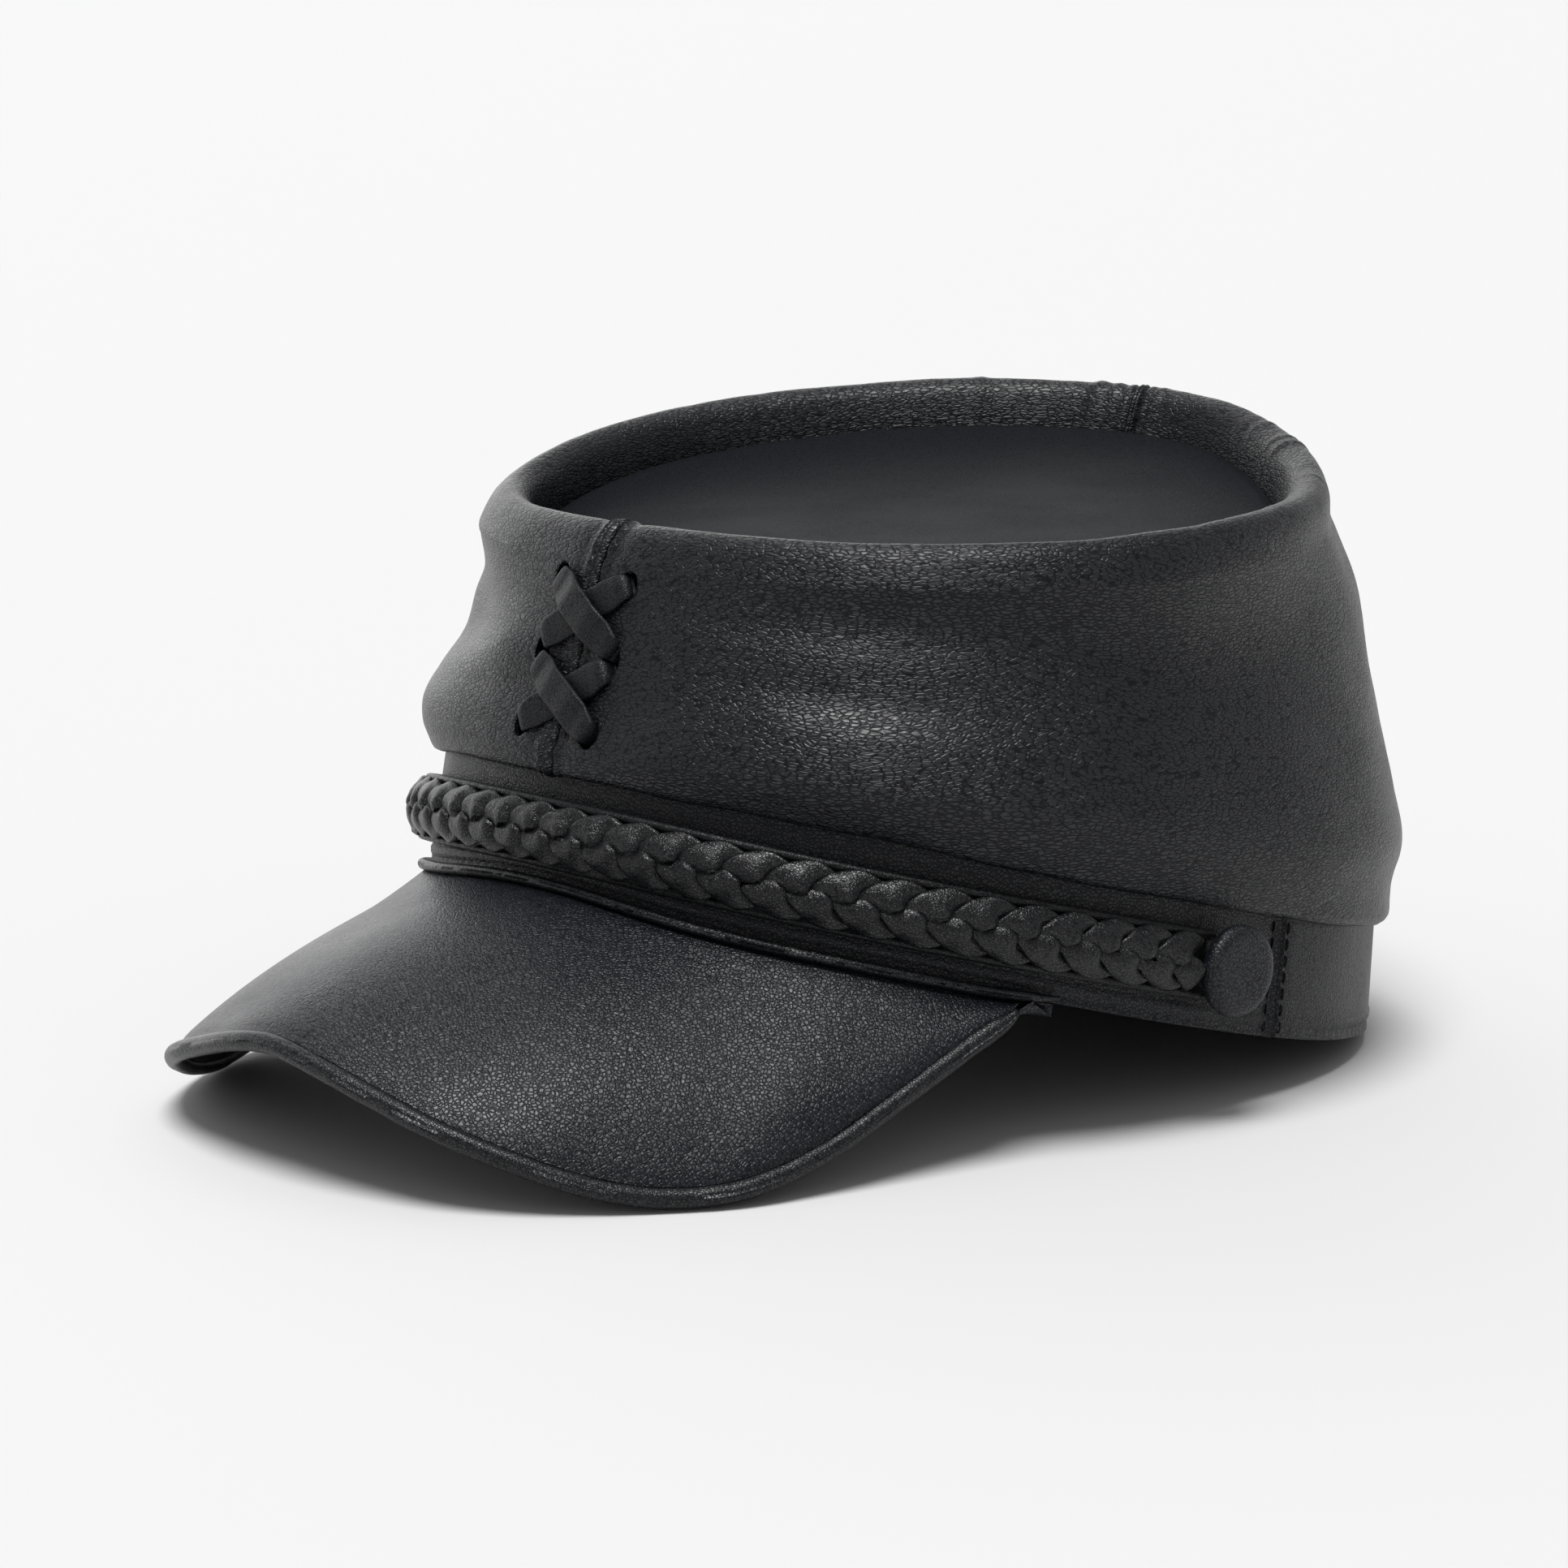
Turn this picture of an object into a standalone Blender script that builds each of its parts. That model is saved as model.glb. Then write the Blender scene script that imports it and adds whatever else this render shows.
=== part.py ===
"""A leather kepi at rest: laced crown, band, plaited strap, two buttons and a peak.

Metres, +Z up. The cap is drawn level, with the middle of its band at x = y = 0, the
peak towards -Y and the wearer's left towards +X. Angles run round the band from 0 at
the wearer's left, through 90 degrees at the front, to 270 at the back. The last step
tips the cap back until the corners of its peak and the back of its band both touch
the surface z = 0, and moves it so that its box stands over the origin.
"""

import math

import bmesh
import bpy
import numpy as np
from mathutils import Matrix, Vector

# Gaps and walls
GAP = 0.0003
CROWN_WALL = 0.0012
BAND_WALL = 0.0022
PEAK_WALL = 0.0024

# Band
BAND_HALF_WIDTH = 0.0911
BAND_HALF_LENGTH = 0.102
BAND_SQUARENESS = 2.23
BAND_HEIGHT = 0.0290
BAND_SADDLE = 0.0024
BAND_FRONT_DIP = 0.0034
BAND_FRONT_LIFT = 0.0027
BAND_LEAN = 0.13
BAND_TAPER = 0.09
SIDE_SEAM_ANGLE = -8.0

# Crown
FOLD_HEIGHT = 0.0240
FOLD_LEG_SPACING = 0.0016
RIM_HALF_WIDTH = 0.0825
RIM_HALF_LENGTH = 0.0828
RIM_FORWARD = 0.0148
RIM_EGG = 0.19
RIM_HEIGHT = 0.1014
RIM_SLOPE = 0.0273
RIM_LEAN = 0.0048
RIM_SAG = 0.0017
RIM_CORNER_SAG = 0.0025
ROLL_RADIUS = 0.0052
ROLL_DEPTH = 0.0128
TOP_DEPTH = 0.0112
TOP_WALL = 0.0012
TOP_RINGS = (0.0, 0.70, 1.0)
BACK_SEAM_ANGLE = 252.0
PUFF = 0.0062
DENT = 0.0045

# Lacing over the front seam
LACE_WIDTH = 0.0070
LACE_WALL = 0.0013
LACE_CLEARANCE = 0.0005
LACE_SPREAD = 0.0102
LACE_TOP = 0.0620
LACE_PITCH = 0.0150
LACE_HOLE_RADIUS = 0.0023
LACE_SHARE_OFFSET = 0.0021
LACE_TAIL = 0.0030

# Strap, plait and buttons
STRAP_WIDTH = 0.0138
STRAP_WALL = 0.0017
STRAP_RIDGE = 0.0013
STRAP_RIDGE_WIDTH = 0.0012
STRAP_MIDDLE = 0.0127
STRAP_SAG = 0.0010
STRAP_END_ANGLE = 2.9
PLAIT_END_ANGLE = 5.6
PLAIT_SWING = 0.00355
PLAIT_WEAVE = 0.00155
PLAIT_PERIOD = 0.0265
STRAND_WIDTH = 0.0044
STRAND_WALL = 0.0015
STRAND_BANK = 17.0
BUTTON_RADIUS = 0.0092
BUTTON_HEIGHT = 0.0040
BUTTON_STAND = 0.0040
BUTTON_ANGLE = 1.0
BUTTON_SHANK_RADIUS = 0.0020

# Peak
PEAK_ROOT_ANGLE = 21.5
PEAK_HALF_SPAN = 0.0862
PEAK_REACH = 0.1174
PEAK_DROP = 0.0474
PEAK_BULGE = 0.0027
PEAK_FULLEST = 0.6
PEAK_FULLNESS_POWER = 1.5
PEAK_EDGE_STEP = 0.01
BINDING_RADIUS = 0.0019
BINDING_CLEARANCE = 0.0006
BINDING_SHARE = 0.96
BINDING_AIM = 0.92
WELT_RADIUS = 0.0011
WELT_AIM = 0.06

# How finely the forms are divided
COLUMNS_ROUND = 48
STRAP_COLUMNS = 32
PLAIT_SAMPLES = 181
PLAIT_STATIONS = 9
STRAND_SIDES = 6
PEAK_COLUMNS = 18
PEAK_ROWS = 5
BINDING_STATIONS = 45
BINDING_SIDES = 8
WELT_STATIONS = 37
WELT_SIDES = 6
BUTTON_STEPS = 18
HOLE_SIDES = 14
HOLE_REACH = 0.0144
MERGE_DISTANCE = 1e-6

# Searches: the steps that probe a surface, and the steepest tip of the cap in degrees
PROBE_ANGLE = 1.0
PROBE_HEIGHT = 0.001
PROBE_SHARE = 0.001
FACE_ROUNDS = 8
TIP_ROUNDS = 50
STEEPEST_TIP = 40.0

# Crown wall, as shares of PUFF that it stands out from a straight wall
# share of height, front, front side, side, back side, back
PUFF_SECTIONS = (
    (0.00, 0.00, 0.00, 0.00, 0.00, 0.00),
    (0.09, 0.12, 0.46, 0.43, 0.22, 0.40),
    (0.20, 0.06, 0.64, 0.71, 0.80, 0.74),
    (0.34, -0.08, 0.33, 0.58, 0.76, 0.77),
    (0.50, -0.05, -0.07, 0.25, 0.64, 0.70),
    (0.66, 0.00, -0.12, -0.16, 0.55, 0.58),
    (0.82, 0.00, -0.40, -0.30, 0.57, 0.46),
    (1.00, 0.00, 0.00, 0.00, 0.00, 0.00),
)
PUFF_ANGLES = (90.0, 45.0, 0.0, -50.0, -90.0)

# Rolled top edge, as shares of ROLL_RADIUS inwards from the crest and of ROLL_DEPTH down
# inwards, down
ROLL_START = (-0.86, 0.62)
ROLL_SECTIONS = (
    (-0.56, 0.19),
    (0.00, 0.00),
    (0.72, 0.14),
    (1.00, 0.50),
    (1.06, 1.00),
)

# Dents and bulges: angle, share of wall, spread in degrees, spread in share, share of DENT
DENTS = (
    (121.0, 0.66, 13.0, 0.20, -0.85),
    (104.0, 0.52, 10.0, 0.12, 0.30),
    (20.0, 0.74, 24.0, 0.16, -0.45),
    (52.0, 0.34, 20.0, 0.16, 0.35),
    (-20.0, 0.30, 20.0, 0.20, 0.25),
    (200.0, 0.66, 26.0, 0.18, -0.45),
    (262.0, 0.60, 20.0, 0.22, -0.35),
)

# Half of a thong, from its tail inside the crown to the middle of its crossing
# share of the way, share of the tail, share of the rest, share of the hump, share of width
LACE_SECTIONS = (
    (0.00, 1.0, 0.0, 0.00, 0.40),
    (0.00, 0.2, 0.0, 0.00, 0.40),
    (0.03, 0.0, 1.0, 0.00, 0.48),
    (0.07, 0.0, 1.2, 0.00, 0.85),
    (0.14, 0.0, 1.1, 0.15, 0.95),
    (0.30, 0.0, 1.0, 1.00, 1.00),
    (0.50, 0.0, 1.0, 1.00, 1.00),
)
# Corners of a thong's section: shares of half its width and of half its wall
LACE_CORNERS = (
    (1.0, 0.0),
    (0.8, 0.8),
    (0.0, 1.0),
    (-0.8, 0.8),
    (-1.0, 0.0),
    (-0.8, -0.8),
    (0.0, -1.0),
    (0.8, -0.8),
)

# Button above its shank: share of its radius, share of its height
BUTTON_PROFILE = (
    (0.00, 1.00),
    (0.45, 1.00),
    (0.80, 0.90),
    (0.95, 0.70),
    (1.00, 0.42),
    (0.97, 0.12),
    (0.90, 0.00),
)

# Outer edge of the peak, from its middle to its root, as shares of its span, reach and drop
# across, forward, down
PEAK_EDGE = (
    (0.000, 1.000, 0.735),
    (0.141, 0.994, 0.765),
    (0.304, 0.966, 0.829),
    (0.462, 0.926, 0.896),
    (0.606, 0.852, 0.955),
    (0.728, 0.749, 0.998),
    (0.820, 0.647, 0.983),
    (0.895, 0.545, 0.896),
    (0.934, 0.420, 0.710),
    (0.957, 0.283, 0.440),
    (0.972, 0.142, 0.170),
    (0.979, 0.050, 0.052),
)


def sharp_power(value, power):
    """A signed power, as a superellipse uses it."""
    return math.copysign(abs(value) ** power, value)


def smooth_bump(distance, spread):
    """A soft bump that is 1 at no distance and dies out past the spread."""
    return math.exp(-((distance / spread) ** 2))


def turn_between(angle, other):
    """The difference of two angles in degrees, between -180 and 180."""
    return (angle - other + 180.0) % 360.0 - 180.0


def curve_through(rows, share):
    """The point at a share of a smooth curve, whose first row is the middle of the whole."""
    rows = np.array(rows, float)
    place = share * (len(rows) - 1)
    index = min(int(place), len(rows) - 2)
    part = place - index
    before = rows[index - 1] if index > 0 else rows[1] * (-1, 1, 1)
    start, end = rows[index], rows[index + 1]
    after = rows[index + 2] if index + 2 < len(rows) else 2 * rows[-1] - rows[-2]
    slope_start, slope_end = (end - before) / 2, (after - start) / 2
    square, cube = part * part, part**3
    return (
        (2 * cube - 3 * square + 1) * start
        + (cube - 2 * square + part) * slope_start
        + (3 * square - 2 * cube) * end
        + (cube - square) * slope_end
    )


def band_outline(angle):
    """The band's outer outline in plan."""
    turn = math.radians(angle)
    power = 2 / BAND_SQUARENESS
    return Vector(
        (
            BAND_HALF_WIDTH * sharp_power(math.cos(turn), power),
            -BAND_HALF_LENGTH * sharp_power(math.sin(turn), power),
            0,
        )
    )


def rim_outline(angle):
    """The crest of the crown's rolled edge in plan, narrower behind than in front."""
    turn = math.radians(angle)
    across = RIM_HALF_WIDTH * math.cos(turn) * (1 + RIM_EGG * math.sin(turn))
    return Vector((across, -RIM_FORWARD - RIM_HALF_LENGTH * math.sin(turn), 0))


def outward(outline, angle):
    """The level direction that points out of an outline at an angle."""
    along = outline(angle + 0.5) - outline(angle - 0.5)
    return Vector((-along.y, along.x, 0)).normalized()


def seat_height(angle):
    """How far the band's level lines rise and fall round the head."""
    turn = math.radians(angle)
    return -BAND_SADDLE * math.cos(2 * turn) - BAND_FRONT_DIP * math.sin(turn) ** 3


def low_edge(angle):
    """The height of the band's lower edge, which lifts over the middle of the peak."""
    front = max(0.0, math.sin(math.radians(angle)))
    return seat_height(angle) + BAND_FRONT_LIFT * front**20


def band_point(angle, height, out):
    """A point by its angle, its height above the seat line and its distance from the band."""
    point = band_outline(angle) + out * outward(band_outline, angle)
    lean = BAND_LEAN - BAND_TAPER * math.sin(math.radians(angle))
    point += Vector((0, -lean * height, seat_height(angle) + height))
    return point


def strap_point(angle, height, out):
    """A point of the strap by its height above its middle, which sags before each button."""
    sag = STRAP_SAG * math.sin(math.radians(2 * angle)) ** 2
    return band_point(angle, STRAP_MIDDLE - sag + height, out)


def rim_height(angle):
    """The height of the crest: sloped down to the front, leaning a little to the left."""
    turn = math.radians(angle)
    return (
        RIM_HEIGHT
        - RIM_SLOPE * math.sin(turn)
        - RIM_LEAN * math.cos(turn)
        + RIM_SAG * math.sin(2 * turn)
        - RIM_CORNER_SAG * max(0.0, -math.sin(2 * turn)) ** 1.5
    )


def puff_at(angle, row):
    """How far the wall stands out at an angle, by one row of the table."""
    mirrored = abs(turn_between(angle, 90.0))
    away = [90.0 - stop for stop in PUFF_ANGLES]
    for index in range(len(away) - 1):
        if mirrored <= away[index + 1]:
            break
    part = (mirrored - away[index]) / (away[index + 1] - away[index])
    part = (1 - math.cos(math.pi * part)) / 2
    shares = PUFF_SECTIONS[row][1:]
    return PUFF * (shares[index] * (1 - part) + shares[index + 1] * part)


def dents_at(angle, share):
    """The dents and bulges at a place on the wall, outwards."""
    total = 0.0
    for at_angle, at_share, spread_angle, spread_share, depth in DENTS:
        near = smooth_bump(turn_between(angle, at_angle), spread_angle)
        total += DENT * depth * near * smooth_bump(share - at_share, spread_share)
    return total


def crown_wall(angle, row):
    """A point of the wall's middle surface between the fold and the rolled edge."""
    share = PUFF_SECTIONS[row][0]
    foot = band_point(angle, FOLD_HEIGHT + CROWN_WALL, fold_outer_leg())
    top = roll_point(angle, *ROLL_START)
    point = foot.lerp(top, share)
    fade = math.sin(math.pi * share)
    out = puff_at(angle, row) + dents_at(angle, share) * fade
    return point + out * outward(band_outline, angle)


def roll_point(angle, inwards, down):
    """A point of the rolled edge, by its shares inwards from the crest and down."""
    point = rim_outline(angle) - inwards * ROLL_RADIUS * outward(rim_outline, angle)
    point.z = rim_height(angle) - down * ROLL_DEPTH
    return point


def fold_inner_leg():
    """How far the fold's inner leg lies out from the band."""
    return GAP + CROWN_WALL / 2


def fold_outer_leg():
    """How far the fold's outer leg lies out from the band."""
    return fold_inner_leg() + FOLD_LEG_SPACING


def crown_point(angle, row):
    """A point of the crown's middle surface: fold, wall, then rolled edge."""
    half = CROWN_WALL / 2
    fold = (
        (BAND_HEIGHT, fold_inner_leg()),
        (FOLD_HEIGHT + half + FOLD_LEG_SPACING / 3, fold_inner_leg()),
        (FOLD_HEIGHT + half, (fold_inner_leg() + fold_outer_leg()) / 2),
    )
    if row < len(fold):
        return band_point(angle, *fold[row])
    row -= len(fold)
    if row < len(PUFF_SECTIONS):
        return crown_wall(angle, row)
    return roll_point(angle, *ROLL_SECTIONS[row - len(PUFF_SECTIONS)])


CROWN_ROWS = 3 + len(PUFF_SECTIONS) + len(ROLL_SECTIONS)


def front_face(across, height):
    """A point on the outside of the crown's front wall and the direction out of it."""
    angle = 90.0
    for _ in range(FACE_ROUNDS):
        angle += math.degrees((wall_at(angle, height).x - across) / BAND_HALF_WIDTH)
    point = wall_at(angle, height)
    along = wall_at(angle - PROBE_ANGLE, height) - wall_at(angle + PROBE_ANGLE, height)
    up = wall_at(angle, height + PROBE_HEIGHT) - wall_at(angle, height - PROBE_HEIGHT)
    out = along.cross(up).normalized()
    return point + out * CROWN_WALL / 2, out


def wall_at(angle, height):
    """The wall's middle surface at an angle and a height."""
    above = below = crown_wall(angle, 0)
    for row in range(1, len(PUFF_SECTIONS)):
        below, above = above, crown_wall(angle, row)
        if above.z >= height:
            break
    return below.lerp(above, (height - below.z) / (above.z - below.z))


def colour(hex_value):
    """A hex sRGB colour as the linear RGBA that a shader takes."""
    parts = [int(hex_value[index : index + 2], 16) / 255 for index in (0, 2, 4)]
    linear = [v / 12.92 if v < 0.04045 else ((v + 0.055) / 1.055) ** 2.4 for v in parts]
    return (*linear, 1)


def finish(obj, hex_value, roughness):
    """Gives an object its own leather material and smooth shading."""
    material = bpy.data.materials.new(obj.name + "_leather")
    material.use_nodes = True
    shader = material.node_tree.nodes["Principled BSDF"]
    shader.inputs["Base Color"].default_value = colour(hex_value)
    shader.inputs["Roughness"].default_value = roughness
    shader.inputs["Metallic"].default_value = 0.0
    obj.data.materials.append(material)
    obj.data.shade_smooth()
    return obj


def keep(name, mesh):
    """A new object in the part's collection, carried by the empty that tips the cap."""
    obj = bpy.data.objects.new(name, mesh)
    cap_pieces.objects.link(obj)
    obj.parent = tipped
    return obj


def sheet(name, columns, rows, place, wall, mirrored=False):
    """An open surface placed by place(share along, row), thickened to a wall."""
    form = bmesh.new()
    bmesh.ops.create_grid(form, x_segments=columns, y_segments=rows - 1, size=0.5)
    for vertex in form.verts:
        row = round((vertex.co.y + 0.5) * (rows - 1))
        vertex.co = place(vertex.co.x + 0.5, row)
    mesh = bpy.data.meshes.new(name)
    form.to_mesh(mesh)
    form.free()
    obj = keep(name, mesh)
    if mirrored:
        halves = obj.modifiers.new("halves", "MIRROR")
        halves.merge_threshold = 0.00005
    shell = obj.modifiers.new("wall", "SOLIDIFY")
    shell.thickness = wall
    shell.offset = 0.0
    return obj


def rod(name, stations, sides, place):
    """A closed rod whose sections are placed by place(share along, turn)."""
    form = bmesh.new()
    bmesh.ops.create_grid(form, x_segments=stations - 1, y_segments=sides, size=0.5)
    for vertex in form.verts:
        vertex.co = place(vertex.co.x + 0.5, 2 * math.pi * (vertex.co.y + 0.5))
    bmesh.ops.remove_doubles(form, verts=form.verts, dist=MERGE_DISTANCE)
    ends = [edge for edge in form.edges if edge.is_boundary]
    bmesh.ops.holes_fill(form, edges=ends, sides=sides)
    bmesh.ops.recalc_face_normals(form, faces=form.faces)
    mesh = bpy.data.meshes.new(name)
    form.to_mesh(mesh)
    form.free()
    return keep(name, mesh)


def section_frame(path, share, out):
    """The point, the sideways and the outward direction of a path at a share of it."""
    before = path(max(0.0, share - PROBE_SHARE))
    after = path(min(1.0, share + PROBE_SHARE))
    along = (after - before).normalized()
    side = along.cross(out).normalized()
    return path(share), side, side.cross(along)


def make_crown_panel(name, start, end):
    """One leather panel of the crown, between two seams, with its fold and rolled edge."""
    inset = math.degrees(GAP / 2 / RIM_HALF_WIDTH)
    start, end = start + inset, end - inset
    columns = round(COLUMNS_ROUND * (end - start) / 360)

    def place(share, row):
        return crown_point(start + share * (end - start), row)

    return sheet(name, columns, CROWN_ROWS, place, CROWN_WALL)


def top_plane(point):
    """The height of the top's sloping plane above or below a point."""
    return RIM_HEIGHT - TOP_DEPTH + RIM_SLOPE / RIM_HALF_LENGTH * (point.y + RIM_FORWARD)


def make_top_panel():
    """The sunk top, held all round by the rolled edge."""
    inset = ROLL_RADIUS * ROLL_SECTIONS[-1][0] + CROWN_WALL / 2 + GAP
    middle = Vector((0, -RIM_FORWARD, 0))

    def place(share, row):
        angle, ring = 360.0 * share, TOP_RINGS[row]
        rim = rim_outline(angle) - inset * outward(rim_outline, angle)
        point = middle.lerp(rim, ring)
        above_plane = rim_height(angle) - TOP_DEPTH - top_plane(rim)
        point.z = top_plane(point) + above_plane * ring**3
        return point

    top = sheet("top_panel", COLUMNS_ROUND, len(TOP_RINGS), place, TOP_WALL)
    form = bmesh.new()
    form.from_mesh(top.data)
    bmesh.ops.remove_doubles(form, verts=form.verts, dist=MERGE_DISTANCE)
    bmesh.ops.recalc_face_normals(form, faces=form.faces)
    form.to_mesh(top.data)
    form.free()
    return top


def make_band(name, start, end):
    """One stretch of the band between the two side seams."""
    inset = math.degrees(GAP / 2 / BAND_HALF_WIDTH)
    start, end = start + inset, end - inset
    columns = round(COLUMNS_ROUND * (end - start) / 360)

    def place(share, row):
        angle = start + share * (end - start)
        if row == 1:
            return band_point(angle, BAND_HEIGHT, -BAND_WALL / 2)
        return band_point(angle, low_edge(angle) - seat_height(angle), -BAND_WALL / 2)

    return sheet(name, columns, 2, place, BAND_WALL)


def make_strap():
    """The strap under the plait, with a raised ridge along each edge."""
    half = STRAP_WIDTH / 2
    inner = half - STRAP_RIDGE_WIDTH
    lift = GAP + STRAP_WALL
    section = (
        (-half, GAP),
        (-half, lift + STRAP_RIDGE),
        (-inner, lift + STRAP_RIDGE),
        (-inner, lift),
        (inner, lift),
        (inner, lift + STRAP_RIDGE),
        (half, lift + STRAP_RIDGE),
        (half, GAP),
    )

    def place(share, turn):
        angle = 180 - STRAP_END_ANGLE - share * (180 - 2 * STRAP_END_ANGLE)
        corner = round(turn / (2 * math.pi) * len(section)) % len(section)
        height, out = section[corner]
        return strap_point(angle, height, out)

    return rod("strap_base", STRAP_COLUMNS, len(section), place)


def plait_angles():
    """The band angle at even steps of length along the plait, right to left."""
    angles = np.linspace(180 - PLAIT_END_ANGLE, PLAIT_END_ANGLE, PLAIT_SAMPLES)
    points = np.array([strap_point(angle, 0, 0) for angle in angles])
    lengths = np.linalg.norm(np.diff(points, axis=0), axis=1)
    along = np.concatenate([[0], np.cumsum(lengths)])
    return angles, along


def make_strand(index, angles, along):
    """One of the plait's three strands, which weaves over and under the others."""
    periods = round(along[-1] / PLAIT_PERIOD)
    depth = GAP + STRAP_WALL + GAP + PLAIT_WEAVE + STRAND_WALL / 2

    def phase_at(share):
        return 2 * math.pi * (periods * share + index / 3)

    def path(share):
        phase = phase_at(share)
        angle = float(np.interp(share * along[-1], along, angles))
        swing = PLAIT_SWING * math.sin(phase)
        return strap_point(angle, swing, depth + PLAIT_WEAVE * math.sin(2 * phase))

    def place(share, turn):
        angle = float(np.interp(share * along[-1], along, angles))
        point, side, face = section_frame(path, share, outward(band_outline, angle))
        phase = phase_at(share)
        bank = math.radians(STRAND_BANK) * math.cos(3 * phase)
        banked = side * math.cos(bank) - face * math.sin(bank)
        raised = face * math.cos(bank) + side * math.sin(bank)
        width, wall = STRAND_WIDTH / 2, STRAND_WALL / 2
        return point + banked * width * math.cos(turn) + raised * wall * math.sin(turn)

    name = "plait_strand_" + "abc"[index]
    return rod(name, periods * PLAIT_STATIONS + 1, STRAND_SIDES, place)


def make_button(name, angle):
    """A leather-covered button on its hidden shank, square to the band."""
    base = GAP + BUTTON_STAND
    profile = [(BUTTON_RADIUS * out, base + BUTTON_HEIGHT * up) for out, up in BUTTON_PROFILE]
    profile += [(BUTTON_SHANK_RADIUS, base), (BUTTON_SHANK_RADIUS, GAP), (0.0, GAP)]
    form = bmesh.new()
    points = [form.verts.new((radius, 0, height)) for radius, height in profile]
    for first, second in zip(points, points[1:]):
        form.edges.new((first, second))
    mesh = bpy.data.meshes.new(name)
    form.to_mesh(mesh)
    form.free()
    obj = keep(name, mesh)
    turned = obj.modifiers.new("turned", "SCREW")
    turned.steps = turned.render_steps = BUTTON_STEPS
    turned.use_merge_vertices = True
    turned.merge_threshold = 0.0001
    turned.use_smooth_shade = True
    obj.location = band_point(angle, STRAP_MIDDLE, 0)
    facing = outward(band_outline, angle)
    obj.rotation_euler = facing.to_track_quat("Z", "Y").to_euler()
    return obj


def peak_root(share):
    """The peak's sewn edge under the band, from the front to its root."""
    angle = 90 - share * (90 - PEAK_ROOT_ANGLE)
    point = band_outline(angle) - PEAK_WALL / 4 * outward(band_outline, angle)
    point.z = low_edge(angle) - GAP - PEAK_WALL / 2
    return point


def peak_edge(share):
    """The peak's outer edge, from its middle to its root."""
    across, forward, down = curve_through(PEAK_EDGE, share)
    root = band_outline(PEAK_ROOT_ANGLE)
    return Vector(
        (across * PEAK_HALF_SPAN, root.y - forward * PEAK_REACH, -down * PEAK_DROP)
    )


def along_edge(share):
    """The direction along the outer edge, towards its root."""
    after = peak_edge(min(1, share + PEAK_EDGE_STEP))
    return (after - peak_edge(max(0, share - PEAK_EDGE_STEP))).normalized()


def peak_point(share, out):
    """A point of the peak's middle surface, a share of the way out from the band."""
    root, edge = peak_root(share), peak_edge(share)
    point = root.lerp(edge, out)
    up = (edge - root).cross(along_edge(share)).normalized()
    fullness = (out / PEAK_FULLEST) ** PEAK_FULLNESS_POWER * (1 - out) / (1 - PEAK_FULLEST)
    return point + up * PEAK_BULGE * fullness * (1 - share**3)


def make_peak():
    """The peak, as one half mirrored at its middle."""

    def place(share, row):
        point = peak_point(share, row / PEAK_ROWS)
        if share == 0:
            point.x = 0
        return point

    return sheet("peak", PEAK_COLUMNS, PEAK_ROWS + 1, place, PEAK_WALL, mirrored=True)


def edge_share(share):
    """A share along the whole peak, right root to left root, as (share of a half, side)."""
    half = 2 * share - 1
    return abs(half), math.copysign(1, half)


def make_binding():
    """The bound bead round the peak's outer edge."""

    def path(share):
        half, side = edge_share(share)
        half *= BINDING_SHARE
        edge, along = peak_edge(half), along_edge(half)
        away = edge - peak_point(half, BINDING_AIM)
        away -= along * away.dot(along)
        point = edge + away.normalized() * (BINDING_CLEARANCE + BINDING_RADIUS)
        return Vector((side * point.x, point.y, point.z))

    def place(share, turn):
        point, side, face = section_frame(path, share, Vector((0, 0, 1)))
        return point + BINDING_RADIUS * (side * math.cos(turn) + face * math.sin(turn))

    return rod("peak_binding", BINDING_STATIONS, BINDING_SIDES, place)


def make_welt():
    """The corded welt where the peak meets the band."""

    def path(share):
        angle = 180 - PEAK_ROOT_ANGLE - share * (180 - 2 * PEAK_ROOT_ANGLE)
        half, _ = edge_share(share)
        root, below = peak_root(half), peak_point(half, WELT_AIM)
        fall = math.atan2(root.z - below.z, (below - root).xy.length)
        clear = PEAK_WALL / 2 + GAP + WELT_RADIUS
        out = GAP + WELT_RADIUS
        point = band_outline(angle) + out * outward(band_outline, angle)
        past_root = out + PEAK_WALL / 4
        point.z = root.z + (clear - past_root * math.sin(fall)) / math.cos(fall)
        return point

    def place(share, turn):
        point, side, face = section_frame(path, share, Vector((0, 0, 1)))
        return point + WELT_RADIUS * (side * math.cos(turn) + face * math.sin(turn))

    return rod("peak_welt", WELT_STATIONS, WELT_SIDES, place)


def lace_holes():
    """The six punched holes, by name: side of the seam and height."""
    return {
        name: (side * LACE_SPREAD, LACE_TOP - row * LACE_PITCH)
        for row, level in enumerate(("top", "middle", "low"))
        for name, side in ((level + "_right", -1), (level + "_left", 1))
    }


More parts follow.
